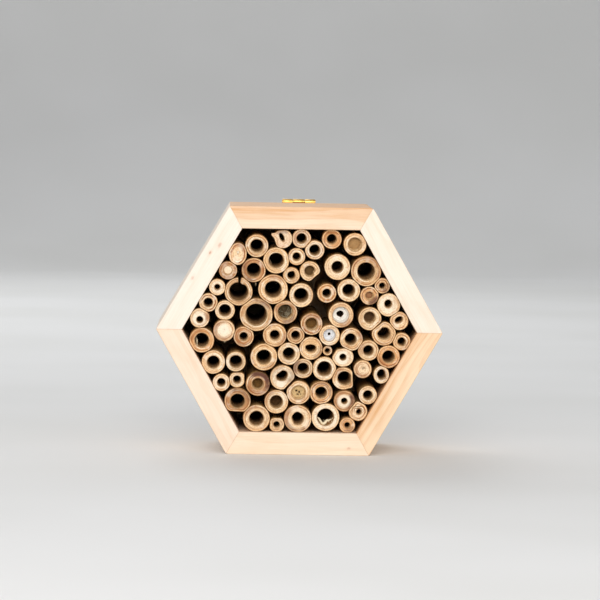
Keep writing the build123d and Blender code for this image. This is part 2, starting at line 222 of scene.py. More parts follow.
# ---------------------------------------------------------------- pine
def pine(name, pale, tan, pith, spacing, contrast, blotch, knots=(), tan_side=None):
    """Planed softwood.  Growth rings lie round a pith line beside the board, so that their
    lines run along its length.  The mesh keeps each point's place along the board, in from
    its outer face and back from its front, in millimetres."""
    recipe = Recipe(name)
    place = recipe.attribute("grain", "Vector")
    stretched = recipe.vector("MULTIPLY", place, (0.012, 0.06, 0.06))
    wave = recipe.node("ShaderNodeTexNoise", {"Vector": stretched, "Scale": 1.0, "Detail": 2.0})
    sway = recipe.vector("SUBTRACT", wave.outputs["Color"], (0.5, 0.5, 0.5))
    sway = recipe.vector("MULTIPLY", sway, (0.0, 14.0, 14.0))
    bent = recipe.vector("ADD", place, sway)
    across = recipe.vector("MULTIPLY", bent, (0.0, 1.0, 1.0))
    lean = recipe.vector("MULTIPLY", place, (0.02, 0.0, 0.0))
    lean_amount = recipe.vector("LENGTH", lean, (0.0, 0.0, 0.0))
    from_pith = recipe.vector("DISTANCE", across, (0.0, *pith))
    rings = recipe.math("ADD", from_pith, lean_amount)
    ring = recipe.math("FRACT", recipe.math("DIVIDE", rings, spacing))
    early = recipe.ramp(ring, 0.35, 0.9)
    back = recipe.ramp(ring, 0.93, 1.0, 1.0, 0.0)
    late = recipe.math("MULTIPLY", early, back)
    fibre_place = recipe.vector("MULTIPLY", place, (0.05, 3.0, 3.0))
    fibre = recipe.noise(fibre_place, 1.0, 5.0, 0.65)
    streak_place = recipe.vector("MULTIPLY", place, (0.008, 0.35, 0.35))
    streak = recipe.noise(streak_place, 1.0, 3.0, 0.6)
    cloud = recipe.noise(place, 0.045, 3.0, 0.55)
    amount = recipe.math("MULTIPLY", late, contrast)
    amount = recipe.math("ADD", amount, recipe.ramp(streak, 0.45, 0.75, 0.0, contrast * 0.8))
    amount = recipe.math("ADD", amount, recipe.ramp(cloud, 0.42, 0.75, 0.0, blotch))
    if tan_side is not None:
        axis, start, end, strength = tan_side
        parts = recipe.node("ShaderNodeSeparateXYZ", {0: bent})
        side = recipe.ramp(parts.outputs[axis], start, end, strength, 0.0)
        side = recipe.math("MULTIPLY", side, recipe.ramp(streak, 0.2, 0.7, 0.55, 1.0))
        amount = recipe.math("ADD", amount, side)
    amount = recipe.math("MULTIPLY", amount, recipe.ramp(fibre, 0.25, 0.75, 0.7, 1.25), clamp=True)
    colour = recipe.mix(amount, linear(*pale), linear(*tan))
    fine = recipe.ramp(fibre, 0.3, 0.75, 0.0, 0.16)
    colour = recipe.mix(fine, colour, linear(198, 160, 116), "MULTIPLY")
    for (along, inward, back_by), radius, depth in knots:
        squashed = recipe.vector("SUBTRACT", place, (along, inward, back_by))
        squashed = recipe.vector("MULTIPLY", squashed, (0.7, 1.15, 0.5))
        wobble = recipe.node("ShaderNodeTexNoise", {"Vector": place, "Scale": 0.9, "Detail": 2.0})
        wobbled = recipe.vector("SUBTRACT", wobble.outputs["Color"], (0.5, 0.5, 0.5))
        squashed = recipe.vector("ADD", squashed, wobbled)
        distance = recipe.vector("LENGTH", squashed, (0.0, 0.0, 0.0))
        halo = recipe.ramp(distance, radius * 0.6, radius * 2.6, depth * 0.4, 0.0)
        core = recipe.ramp(distance, radius * 0.3, radius * 1.15, depth, 0.0)
        colour = recipe.mix(halo, colour, linear(236, 192, 160))
        colour = recipe.mix(core, colour, linear(190, 124, 88))
    wear = recipe.attribute("wear")
    worn = recipe.math("MULTIPLY", wear, recipe.ramp(cloud, 0.3, 0.7, 0.25, 0.85))
    colour = recipe.mix(worn, colour, linear(196, 152, 108))
    roughness = recipe.ramp(fibre, 0.2, 0.8, 0.50, 0.68)
    relief = recipe.bump(fibre, 0.05, 0.55)
    relief = recipe.bump(late, 0.03, 0.5, relief)
    return recipe.finish(colour, roughness, relief, Specular_IOR_Level=0.35)


# Each board: its pale and tan colours, the pith line's place, the rings' spacing, their
# contrast, how blotchy it is, and its knots and the tan band along one side where it has them.
BOARDS = {
    "stave_top": (
        (248, 224, 196), (226, 170, 114), (-46.0, 40.0), 4.6, 0.26, 0.12,
        (), (1, 2.0, 11.0, 0.62),
    ),
    "stave_upper_right": ((252, 237, 220), (234, 196, 158), (52.0, 70.0), 5.2, 0.16, 0.16),
    "stave_lower_right": (
        (250, 222, 188), (226, 166, 104), (-38.0, -30.0), 3.8, 0.26, 0.22,
        (), (1, 12.0, 8.0, 0.45),
    ),
    "stave_bottom": (
        (252, 230, 204), (234, 188, 138), (60.0, -44.0), 5.6, 0.16, 0.14,
        [((31.0, 4.5, 0.0), 1.0, 0.35)],
    ),
    "stave_lower_left": (
        (252, 230, 208), (234, 190, 150), (44.0, 52.0), 5.0, 0.18, 0.22,
        [((-41.0, 6.5, 0.0), 1.2, 0.4)],
    ),
    "stave_upper_left": (
        (252, 239, 224), (236, 202, 168), (64.0, -60.0), 6.0, 0.12, 0.10,
        [((-20.0, 7.0, 0.0), 1.35, 0.42), ((-12.8, 4.3, 0.0), 0.95, 0.62), ((5.5, 3.2, 0.0), 1.1, 0.3)],
    ),
}


# ---------------------------------------------------------------- staves
def rounded_loop(corners, radius, step):
    """A closed outline with each corner rounded, and points no more than a step apart."""
    count = len(corners)
    loop = []
    for index, corner in enumerate(corners):
        before = Vector(corners[index - 1])
        here = Vector(corner)
        after = Vector(corners[(index + 1) % count])
        enter = here + (before - here).normalized() * radius
        leave = here + (after - here).normalized() * radius
        for share in (0.0, 0.25, 0.5, 0.75, 1.0):
            first = enter.lerp(here, share)
            second = here.lerp(leave, share)
            loop.append(first.lerp(second, share))
        start = leave
        end = after + (here - after).normalized() * radius
        pieces = max(1, math.ceil((end - start).length / step))
        for piece in range(1, pieces):
            loop.append(start.lerp(end, piece / pieces))
    return loop


def end_rounding(along, inward, radius):
    """How far the outer face of a stave is worn down near a corner of the house."""
    tangent = radius * TAN30
    from_corner = ACROSS_FLATS / 2 * TAN30 - abs(along)
    if from_corner >= tangent:
        return inward
    reach = min(radius, tangent - from_corner)
    return max(inward, radius - math.sqrt(max(0.0, radius * radius - reach * reach)))


def stave_stations():
    """Places along a stave, as distances in from its two mitres and shares of what is left."""
    near_mitre = (0.0, 0.1, 0.22, 0.45, 0.8, 1.3, 2.0, 3.0, 4.5, 6.5)
    middle = 22
    stations = [(-1, gap) for gap in near_mitre]
    stations += [(2 * (i + 1) / (middle + 1) - 1, None) for i in range(middle)]
    stations += [(1, gap) for gap in reversed(near_mitre)]
    return stations, near_mitre[-1]


def make_stave(facing, name, rng):
    """One stave: a rebated section swept along its length, mitred at both ends and softened
    along every edge, with a hairline groove at the mitres."""
    depth_corners = [
        (0.0, FRONT_Y),
        (STAVE, FRONT_Y),
        (STAVE, PANEL_FACE_Y),
        (STAVE - REBATE, PANEL_FACE_Y),
        (STAVE - REBATE, BACK_Y),
        (0.0, BACK_Y),
    ]
    loop = rounded_loop(depth_corners, 0.55, 3.2)
    stations, inset = stave_stations()
    turn = math.radians(facing)
    outward = (math.cos(turn), math.sin(turn))
    onward = (-math.sin(turn), math.cos(turn))
    first_radius = CORNER_ROUNDING[(facing - 30) % 360]
    second_radius = CORNER_ROUNDING[(facing + 30) % 360]
    middle_in = STAVE / 2
    middle_y = (FRONT_Y + BACK_Y) / 2
    wobble = [rng.uniform(0, 100) for _ in range(3)]
    points, grain, wear = [], [], []
    for side, gap in stations:
        mitre_gap = gap if gap is not None else inset
        groove = 0.16 if gap == 0.0 else 0.05 if gap == 0.1 else 0.0
        for inward, y in loop:
            inward_now = inward + (middle_in - inward) * groove / middle_in
            y_now = y + math.copysign(groove, middle_y - y) * (abs(y - middle_y) > 5.0)
            for _ in range(3):
                full = (ACROSS_FLATS / 2 - inward_now) * TAN30 - mitre_gap
                along = full * (side if gap is None else math.copysign(1, side))
                radius = second_radius if along > 0 else first_radius
                inward_now = end_rounding(along, inward_now, radius)
            ripple = math.sin(along * 0.21 + wobble[0]) * math.sin(y * 0.12 + wobble[1])
            ripple += math.sin(along * 0.53 + inward * 0.7 + wobble[2])
            y_now += 0.02 * ripple * (y < FRONT_Y + 1.0)
            x = outward[0] * (ACROSS_FLATS / 2 - inward_now) + onward[0] * along
            z = outward[1] * (ACROSS_FLATS / 2 - inward_now) + onward[1] * along
            points.append((x, y_now, CENTRE_Z + z))
            grain.append((along, inward, y - FRONT_Y))
            near_edge = min(inward, abs(STAVE - inward)) < 0.3 and y < FRONT_Y + 0.3
            wear.append(0.55 if near_edge or (gap is not None and gap < 0.2) else 0.0)
    size = len(loop)
    faces = []
    for ring in range(len(stations) - 1):
        for place in range(size):
            other = (place + 1) % size
            low, high = ring * size, (ring + 1) * size
            faces.append((low + place, low + other, high + other, high + place))
    faces.append(tuple(range(size)))
    faces.append(tuple(range(len(points) - 1, len(points) - size - 1, -1)))
    piece = make_object(name + "_board", points, faces, "house")
    store(piece, "grain", "FLOAT_VECTOR", grain)
    store(piece, "wear", "FLOAT", wear)
    outward_normals(piece)
    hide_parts(name)
    return piece


def make_staves():
    """All six staves with their own boards."""
    materials = {name: pine(name.replace("stave", "pine"), *looks) for name, looks in BOARDS.items()}
    for facing, name in STAVE_NAMES.items():
        piece = make_stave(facing, name, random.Random(facing))
        piece.data.materials.append(materials[name])


# ---------------------------------------------------------------- reading the canes
def cane_islands(node):
    """The points of each separate solid of a CAD node, in millimetres."""
    work = bmesh.new()
    work.from_mesh(NODES[node].data)
    bmesh.ops.remove_doubles(work, verts=work.verts, dist=1e-7)
    unseen = set(work.verts)
    islands = []
    while unseen:
        waiting = [unseen.pop()]
        island = []
        while waiting:
            vertex = waiting.pop()
            island.append(tuple(vertex.co / MM))
            for edge in vertex.link_edges:
                other = edge.other_vert(vertex)
                if other in unseen:
                    unseen.remove(other)
                    waiting.append(other)
        islands.append(np.array(island))
    work.free()
    return sorted(islands, key=lambda island: (-island[:, 2].mean(), island[:, 0].mean()))


def convex_outline(points):
    """The outer corners of a set of points, anticlockwise."""
    points = sorted(set(map(tuple, np.round(points, 4))))

    def half(ordered):
        line = []
        for point in ordered:
            while len(line) > 1:
                (ax, az), (bx, bz) = line[-2], line[-1]
                if (bx - ax) * (point[1] - az) - (bz - az) * (point[0] - ax) > 0:
                    break
                line.pop()
            line.append(point)
        return line[:-1]

    return np.array(half(points) + half(points[::-1]))


def edge_lines(outline):
    """Each side of a convex outline as an outward direction and its distance."""
    following = np.roll(outline, -1, axis=0)
    sides = following - outline
    normals = np.stack([sides[:, 1], -sides[:, 0]], axis=1)
    normals /= np.linalg.norm(normals, axis=1)[:, None]
    return normals, (normals * outline).sum(axis=1)


class Cane:
    """What the CAD solid says of one cane: its outline, its bore and its depths."""

    def __init__(self, node, points):
        self.node = node
        self.mouth = points[:, 1].min()
        self.back = points[:, 1].max()
        rim = points[points[:, 1] < self.mouth + 0.01][:, [0, 2]]
        outline = convex_outline(rim)
        self.normals, self.distances = edge_lines(outline)
        self.x, self.z = (outline.min(axis=0) + outline.max(axis=0)) / 2
        self.distances = self.distances - self.normals @ np.array([self.x, self.z])
        inside = self.distances[None, :] - (rim - (self.x, self.z)) @ self.normals.T
        bore = rim[inside.min(axis=1) > 0.4]
        self.bore = None
        if len(bore):
            low, high = bore.min(axis=0), bore.max(axis=0)
            self.bore = (*((low + high) / 2 - (self.x, self.z)), *((high - low) / 2))
        levels = sorted(set(np.round(points[:, 1], 1)))
        self.depth = levels[1] - levels[0] if len(levels) > 2 and self.bore else None

    def outline(self, angles):
        """How far the skin is from the middle in each direction."""
        directions = np.stack([np.cos(angles), np.sin(angles)], axis=1)
        towards = directions @ self.normals.T
        reach = np.where(towards > 1e-6, self.distances / np.maximum(towards, 1e-6), 1e9)
        return reach.min(axis=1)

    def take_number(self, numbered):
        """Finds which cane of the looks table this is, counted from 1."""
        away = [math.hypot(self.x - look[0], self.z - look[1]) for look in CANE_LOOKS]
        self.number = int(np.argmin(away)) + 1
        if self.number in numbered:
            raise ValueError(f"two canes are nearest to place {self.number}")
        numbered.add(self.number)


def read_canes():
    """Every cane of the filling."""
    canes = []
    for node in sorted(NODES):
        if node.startswith(("cane_", "thin_canes_")):
            canes += [Cane(node, island) for island in cane_islands(node)]
    numbered = set()
    for cane in canes:
        cane.take_number(numbered)
    return canes


# ---------------------------------------------------------------- what each cane looks like
TONES = {  # the cut face's part next to the bore, its middle and its part under the skin
    "white": ((238, 220, 194), (248, 228, 196), (248, 214, 172)),
    "pale": ((238, 214, 178), (246, 216, 176), (242, 202, 154)),
    "cream": ((236, 208, 168), (244, 210, 164), (236, 190, 140)),
    "tan": ((230, 196, 150), (234, 193, 142), (228, 179, 126)),
    "olive": ((214, 182, 138), (218, 178, 130), (210, 166, 118)),
    "orange": ((228, 186, 134), (230, 174, 116), (230, 170, 110)),
    "brown": ((212, 170, 122), (194, 142, 94), (186, 132, 84)),
    "grey": ((214, 190, 154), (218, 188, 150), (216, 182, 142)),
    "pink": ((230, 206, 178), (236, 206, 172), (230, 192, 158)),
}
# The canes in rows from the roof down: place across and up, the tone of the cut face, how
# dark the skin's line is and how strong the brown ring inside it is.
CANE_LOOKS = [
    (-10.9, 130.5, "pink", 0.35, 0.20),
    (0.4, 130.8, "pink", 0.60, 0.45),
    (18.7, 130.7, "orange", 0.90, 0.70),
    (32.7, 127.8, "cream", 0.45, 0.35),
    (-26.5, 126.0, "olive", 0.55, 0.50),
    (8.4, 124.1, "pink", 0.70, 0.50),
    (-38.0, 121.0, "cream", 0.85, 0.75),
    (-14.7, 117.4, "tan", 0.55, 0.45),
    (-2.4, 119.8, "cream", 0.65, 0.60),
    (22.3, 114.0, "pale", 0.45, 0.30),
    (39.7, 111.7, "tan", 0.80, 0.80),
    (5.7, 111.2, "cream", 0.65, 0.40),
    (-28.2, 111.3, "brown", 0.85, 0.75),
    (-43.7, 110.9, "brown", 0.85, 0.80),
    (-5.4, 108.4, "tan", 0.75, 0.50),
    (-50.0, 100.7, "white", 0.65, 0.20),
    (-37.1, 98.1, "olive", 0.65, 0.45),
    (-16.3, 100.0, "tan", 0.55, 0.60),
    (0.7, 96.6, "pale", 0.60, 0.40),
    (16.2, 98.0, "orange", 0.90, 0.55),
    (29.4, 100.0, "pale", 0.45, 0.30),
    (42.0, 96.9, "orange", 0.85, 0.95),
    (49.7, 103.0, "tan", 0.75, 0.70),
    (53.7, 91.5, "white", 0.50, 0.20),
    (-55.3, 91.3, "cream", 0.60, 0.95),
    (-45.2, 86.7, "pale", 0.40, 0.30),
    (-26.2, 84.4, "olive", 0.70, 0.45),
    (-8.6, 86.1, "tan", 0.85, 0.60),
    (7.3, 79.3, "brown", 0.95, 0.90),
    (24.9, 85.0, "cream", 0.70, 0.40),
    (42.5, 83.0, "cream", 0.55, 0.60),
    (60.3, 81.9, "cream", 0.65, 0.45),
    (-60.3, 81.8, "white", 0.65, 0.35),
    (-45.5, 74.6, "white", 0.90, 0.65),
    (-33.6, 71.0, "brown", 0.90, 0.65),
    (-58.9, 68.5, "orange", 0.80, 0.60),
    (-14.8, 72.2, "tan", 0.85, 0.60),
    (-2.2, 72.2, "tan", 0.65, 0.60),
    (18.2, 72.7, "cream", 0.65, 0.35),
    (31.5, 70.4, "tan", 0.65, 0.70),
    (51.1, 74.1, "tan", 0.65, 0.60),
    (62.0, 69.4, "tan", 0.65, 0.75),
    (-51.7, 55.3, "cream", 0.50, 0.20),
    (-38.1, 55.9, "grey", 0.35, 0.15),
    (-21.2, 58.8, "tan", 0.60, 0.40),
    (-6.1, 61.0, "cream", 0.60, 0.40),
    (7.2, 64.5, "tan", 0.60, 0.45),
    (17.2, 63.1, "tan", 0.65, 0.40),
    (26.6, 59.5, "white", 0.75, 0.30),
    (41.9, 63.8, "cream", 0.65, 0.60),
    (54.2, 60.1, "orange", 0.65, 0.80),
    (-46.7, 43.0, "pale", 0.40, 0.30),
    (-37.2, 44.8, "pale", 0.70, 0.45),
    (-24.6, 42.5, "brown", 0.95, 0.70),
    (-9.8, 46.6, "white", 0.60, 0.20),
    (2.7, 52.2, "grey", 0.85, 0.60),
    (15.5, 52.3, "white", 0.45, 0.25),
    (27.1, 46.6, "tan", 0.75, 0.50),
    (38.7, 52.4, "pale", 0.95, 0.95),
    (50.0, 49.1, "white", 0.50, 0.20),
    (-36.7, 31.9, "brown", 0.70, 0.55),
    (-13.2, 31.8, "cream", 0.65, 0.40),
    (0.1, 37.6, "cream", 0.55, 0.50),
    (13.8, 37.8, "orange", 0.95, 0.95),
    (27.9, 32.9, "tan", 1.00, 0.45),
    (42.1, 36.7, "cream", 0.50, 0.35),
    (36.4, 26.5, "pale", 0.75, 0.75),
    (-25.1, 21.6, "cream", 0.55, 0.45),
    (-12.8, 17.9, "cream", 0.60, 0.60),
    (-0.1, 21.7, "cream", 0.85, 0.75),
    (16.7, 22.9, "white", 0.40, 0.25),
    (30.0, 18.1, "orange", 0.95, 0.95),
]
# Stains under the skin: the cane, the stain's middle direction and half width in degrees,
# its strength and whether it is grey or brown.
STAINS = [
    (1, 95, 60, 0.45, "grey"),
    (2, 200, 60, 0.30, "brown"),
    (7, 60, 60, 0.45, "brown"),
    (11, 60, 130, 0.45, "brown"),
    (13, 195, 100, 0.6, "grey"),
    (14, 200, 170, 0.40, "brown"),
    (18, 75, 45, 0.45, "brown"),
    (19, 10, 50, 0.45, "brown"),
    (22, 310, 60, 0.85, "grey"),
    (23, 330, 70, 0.65, "grey"),
    (27, 60, 45, 0.55, "grey"),
    (28, 95, 120, 0.50, "brown"),
    (28, 300, 60, 0.45, "grey"),
    (29, 90, 80, 0.60, "brown"),
    (30, 300, 50, 0.50, "brown"),
    (33, 15, 40, 0.75, "brown"),
    (34, 200, 170, 0.55, "brown"),
    (35, 200, 110, 0.65, "brown"),
    (36, 140, 60, 0.55, "brown"),
    (37, 330, 60, 0.45, "brown"),
    (40, 25, 45, 0.50, "brown"),
    (41, 280, 70, 0.30, "brown"),
    (45, 300, 35, 0.45, "brown"),
    (47, 330, 60, 0.55, "grey"),
    (50, 170, 60, 0.45, "brown"),
    (51, 240, 90, 0.45, "brown"),
    (54, 50, 110, 1.0, "grey"),
    (54, 250, 80, 0.45, "brown"),
    (55, 130, 60, 0.40, "brown"),
    (55, 5, 50, 0.40, "grey"),
    (56, 165, 60, 0.65, "grey"),
    (58, 140, 60, 0.40, "brown"),
    (59, 220, 120, 0.40, "brown"),
    (61, 55, 80, 0.75, "grey"),
    (62, 150, 60, 0.45, "brown"),
    (64, 60, 110, 0.45, "grey"),
    (65, 350, 80, 0.95, "grey"),
    (65, 200, 170, 0.65, "brown"),
    (68, 130, 60, 0.35, "brown"),
    (70, 175, 65, 0.60, "brown"),
    (70, 260, 60, 0.45, "grey"),
    (72, 300, 60, 0.40, "grey"),
]
# Closed bores: the tone of the node wall or pith, and how rough it is in millimetres.
FLOORS = {
    4: ((172, 134, 86), 0.10),
    12: ((104, 78, 42), 0.15),
    14: ((246, 222, 190), 0.10),
    22: ((150, 106, 70), 0.15),
    28: ((112, 98, 66), 0.35),
    29: ((120, 86, 36), 0.20),
    30: ((238, 234, 224), 0.12),
    31: ((104, 74, 44), 0.20),
    39: ((228, 230, 232), 0.10),
    54: ((110, 78, 32), 0.25),
    62: ((84, 56, 22), 0.25),
    63: ((214, 184, 132), 0.75),
}
USUAL_FLOOR = ((110, 80, 50), 0.2)
# Holes through a pith near the mouth: the cane, its shift to the right and up, its radius.
PITH_HOLES = {30: (0.1, -0.2, 2.0), 39: (0.2, 0.1, 0.85)}
# Small pits in solid pith or in a closed bore: cane, place, radii across and up, depth and
# how dark they are.
PITS = [
    (7, 0.2, 1.0, 0.95, 1.0, 0.15, 0.5),
    (34, 0.0, 0.6, 0.6, 0.5, 0.4, 0.85),
    (59, 0.4, 0.7, 1.5, 0.8, 0.5, 0.55),
    (63, -1.2, 0.9, 0.7, 0.6, 1.6, 1.0),
    (63, 0.6, 0.2, 0.6, 0.8, 1.6, 1.0),
    (63, -0.3, -1.3, 0.9, 0.5, 1.2, 0.9),
    (63, 1.5, -1.2, 0.5, 0.5, 0.8, 0.7),
]
# Pale spots of pith: cane, place and radius.
PALE_SPOTS = [
    (7, 0.2, 1.0, 0.75),
    (33, -0.6, -0.6, 4.0),
    (34, 0.1, 0.4, 3.4),
    (49, -0.8, -0.6, 4.2),
    (55, -1.2, -3.6, 2.6),
    (65, -0.3, -0.2, 4.3),
]
# Sides pressed or cut flat: the cane, the direction in degrees, the distance from its middle.
FLAT_SIDES = [
    (1, 200, 4.9),
    (1, 95, 5.1),
    (12, 312, 4.7),
    (41, 128, 5.9),
    (49, 100, 5.2),
    (49, 150, 5.7),
    (53, 90, 4.3),
    (53, 2, 4.4),
    (55, 318, 5.7),
    (58, 2, 5.6),
    (61, 268, 6.3),
    (69, 90, 3.8),
    (69, 180, 4.2),
    (67, 140, 4.9),
]
FLAT_BORES = [
    (41, 140, 2.7),
    (47, 80, 2.3),
    (55, 130, 2.4),
    (58, 2, 3.9),
    (60, 210, 2.4),
    (70, 205, 3.2),
]
# Bulges and dents: the cane, the direction and half width in degrees, and how far out.
SKIN_BULGES = [
    (1, 158, 18, 1.9),
    (17, 70, 16, 0.35),
    (53, 44, 30, 0.5),
    (58, 315, 22, 0.7),
    (67, 95, 26, 0.55),
    (67, 215, 30, 0.25),
]
BORE_BULGES = [
    (1, 120, 45, 0.45),
    (1, 300, 45, 0.45),
    (12, 340, 24, -0.9),
    (15, 60, 40, 0.4),
    (17, 66, 20, -0.8),
    (41, 320, 110, 1.0),
    (41, 45, 50, 0.4),
    (41, 235, 50, 0.4),
    (42, 300, 40, 0.4),
    (47, 155, 35, 0.5),
    (55, 35, 55, 0.6),
    (55, 215, 55, 0.3),
    (58, 318, 25, 0.4),
    (60, 75, 75, 0.4),
    (60, 330, 50, 0.4),
    (67, 80, 60, 0.4),
    (70, 100, 40, 0.5),
]
TURNED_BORES = {1: 24, 32: 35}      # oval bores that lean, in degrees
SPLIT_CANE = 17             # cracked open along its top
SPLIT_EDGES = (78.5, 93.0)  # the crack's two edges, in degrees from the right


# ---------------------------------------------------------------- canes
AROUND = 96                 # points round a cane
SKIN_EDGE = 0.12            # the worn edge between the skin and the cut
RING_DEPTH = (0.95, 1.35)   # how far in from the skin the brown ring can lie
STAIN_REACH = (2.0, 3.2)    # where a stain starts to fade and ends, in from the skin


def rows_of(table, number):
    """What a table says of one cane: its rows, without the cane's number."""
    return [row[1:] for row in table if row[0] == number]


def turned_by(angles, direction):
    """How far each angle is from a direction given in degrees, in degrees."""
    return (np.degrees(angles) - direction + 180) % 360 - 180


def bulge(angles, direction, half_width, height):
    """A smooth bump on a ring, or a dent where its height is negative."""
    share = np.clip(np.abs(turned_by(angles, direction)) / half_width, 0, 1)
    return height * np.cos(share * math.pi / 2) ** 2


def flatten(reach, angles, direction, distance):
    """Cuts a ring off along a straight side."""
    facing = np.cos(np.radians(turned_by(angles, direction)))
    return np.where(facing > 0.1, np.minimum(reach, distance / np.maximum(facing, 0.1)), reach)


def soften(reach, rounds):
    """Rounds off the corners of a ring without letting it grow."""
    for _ in range(rounds):
        soft = (np.roll(reach, 1) + 2 * reach + np.roll(reach, -1)) / 4
        reach = np.minimum(soft, reach)
    return reach


def skin_outline(cane, angles, rng):
    """The cane's outside: its solid's outline with soft corners, never wider."""
    reach = cane.outline(angles)
    for direction, distance in rows_of(FLAT_SIDES, cane.number):
        reach = flatten(reach, angles, direction, distance)
    reach = soften(reach, 9)
    wobble = harmonics(angles, rng, 2, 6, 0.014 * reach.mean())
    wobble += harmonics(angles, rng, 9, 22, 0.03)
    reach = reach + wobble - wobble.max() * 0.8
    for row in rows_of(SKIN_BULGES, cane.number):
        reach = reach + bulge(angles, *row)
    return reach


def bore_outline(cane, angles, rng):
    """How far the bore's edge is from its own middle in each direction."""
    half_width, half_height = cane.bore[2:]
    turned = angles - math.radians(TURNED_BORES.get(cane.number, 0))
    reach = 1 / np.hypot(np.cos(turned) / half_width, np.sin(turned) / half_height)
    small = min(half_width, half_height)
    for direction, distance in rows_of(FLAT_BORES, cane.number):
        reach = flatten(reach, angles, direction, distance)
    for row in rows_of(BORE_BULGES, cane.number):
        reach = reach + bulge(angles, *row)
    for _ in range(3):
        reach = (np.roll(reach, 1) + 2 * reach + np.roll(reach, -1)) / 4
    return reach + harmonics(angles, rng, 2, 5, 0.02 * small) + harmonics(angles, rng, 8, 20, 0.025)


class Loft:
    """Rings of points round a cane joined into a skin, with what each point shows."""

    KEYS = ("wall", "end", "deep", "floor", "rim", "lip", "dark", "pale", "strand")

    def __init__(self, cane):
        self.cane = cane
        self.gap = int(cane.number == SPLIT_CANE)
        self.rings = []
        self.points, self.faces = [], []
        self.shows = {key: [] for key in self.KEYS}
        self.last = None

    def quads(self, low, high):
        """Faces between two rings, which leave a crack open where there is one."""
        for place in range(AROUND - self.gap):
            other = (place + 1) % AROUND
            self.faces.append((low + place, low + other, high + other, high + place))

    def add(self, xs, ys, zs, **shows):
        """Adds points relative to the cane's middle and mouth, and what they show."""
        start = len(self.points)
        count = len(xs)
        ys = np.broadcast_to(ys, count)
        self.points += [
            (self.cane.x + x, self.cane.mouth + y, self.cane.z + z) for x, y, z in zip(xs, ys, zs)
        ]
        for key in self.KEYS:
            self.shows[key] += list(np.broadcast_to(shows.get(key, 0.0), count))
        return start

    def ring(self, xs, ys, zs, **shows):
        """Adds a ring and joins it to the one before."""
        start = self.add(xs, ys, zs, **shows)
        if self.last is not None:
            self.quads(self.last, start)
        self.last = start
        self.rings.append(start)

    def close(self):
        """Fills the last ring with a fan."""
        ring = self.points[self.last : self.last + AROUND]
        middle = np.array(ring).mean(axis=0)
        self.points.append(tuple(middle))
        for key in self.KEYS:
            self.shows[key].append(self.shows[key][-1])
        centre = len(self.points) - 1
        for place in range(AROUND):
            other = (place + 1) % AROUND
            self.faces.append((self.last + place, self.last + other, centre))

    def cap_back(self):
        """Fills the first ring, against the back panel."""
        self.faces.append(tuple(range(AROUND - 1, -1, -1)))

    def join_ends(self):
        """Joins the last ring to the first, and closes the sides of a crack."""
        self.quads(self.last, 0)
        if self.gap:
            self.faces.append(tuple(reversed(self.rings)))
            self.faces.append(tuple(start + AROUND - 1 for start in self.rings))

    def strand(self, path, width, thickness, shade):
        """A torn fibre along a path, flat and pointed at both ends."""
        path = [Vector(point) for point in path]
        before = None
        for index, point in enumerate(path):
            onward = path[min(index + 1, len(path) - 1)] - path[max(index - 1, 0)]
            side = onward.cross(Vector((0.0, 1.0, 0.0))).normalized()
            through = side.cross(onward).normalized()
            share = index / (len(path) - 1)
            size = max(0.12, math.sin(math.pi * min(0.95, 0.08 + share)))
            corners = [
                point + side * width * size / 2,
                point + through * thickness * size / 2,
                point - side * width * size / 2,
                point - through * thickness * size / 2,
            ]
            xs, ys, zs = zip(*corners)
            start = self.add(xs, ys, zs, wall=0.5, end=1.0, strand=shade)
            if before is not None:
                for place in range(4):
                    other = (place + 1) % 4
                    self.faces.append(
                        (before + place, before + other, start + other, start + place)
                    )
            else:
                self.faces.append((start + 3, start + 2, start + 1, start))
            before = start
        self.faces.append((before, before + 1, before + 2, before + 3))


def cut_face(rng):
    """The saw cut: a slightly slanting plane with faint saw ripples, as a function of place."""
    slant_x = rng.uniform(-0.024, 0.024)
    slant_z = rng.uniform(-0.026, 0.026)
    ripple = rng.uniform(0, math.pi)
    pitch = rng.uniform(2.2, 3.4)
    phase = rng.uniform(0, 6)

    def lift(xs, zs):
        across = xs * math.cos(ripple) + zs * math.sin(ripple)
        return slant_x * xs + slant_z * zs + 0.03 * np.sin(across * pitch + phase) + 0.22

    return lift


def pits_in(number, xs, zs):
    """Depth and darkness of the pits of a cane at points near its middle."""
    depth, dark = np.zeros(len(xs)), np.zeros(len(xs))
    for x, z, across, upward, deep, shade in rows_of(PITS, number):
        near = np.exp(-(((xs - x) / across) ** 2) - ((zs - z) / upward) ** 2)
        depth = np.maximum(depth, deep * near)
        dark = np.maximum(dark, shade * smooth_step(0.25, 0.8, near))
    return depth, dark


def paleness(number, xs, zs):
    """How far the pale pith of a cane covers points near its middle."""
    pale = np.zeros(len(xs))
    for x, z, radius in rows_of(PALE_SPOTS, number):
        pale = np.maximum(pale, 1 - smooth_step(0.7, 1.1, np.hypot(xs - x, zs - z) / radius))
    return pale


def bore_lean(cane):
    """How a bore's middle wanders up and to the left with depth, in millimetres."""
    size = cane.bore[2] + cane.bore[3]
    return -(0.02 + 0.0008 * (cane.x + 40)) * size, 0.11 * size


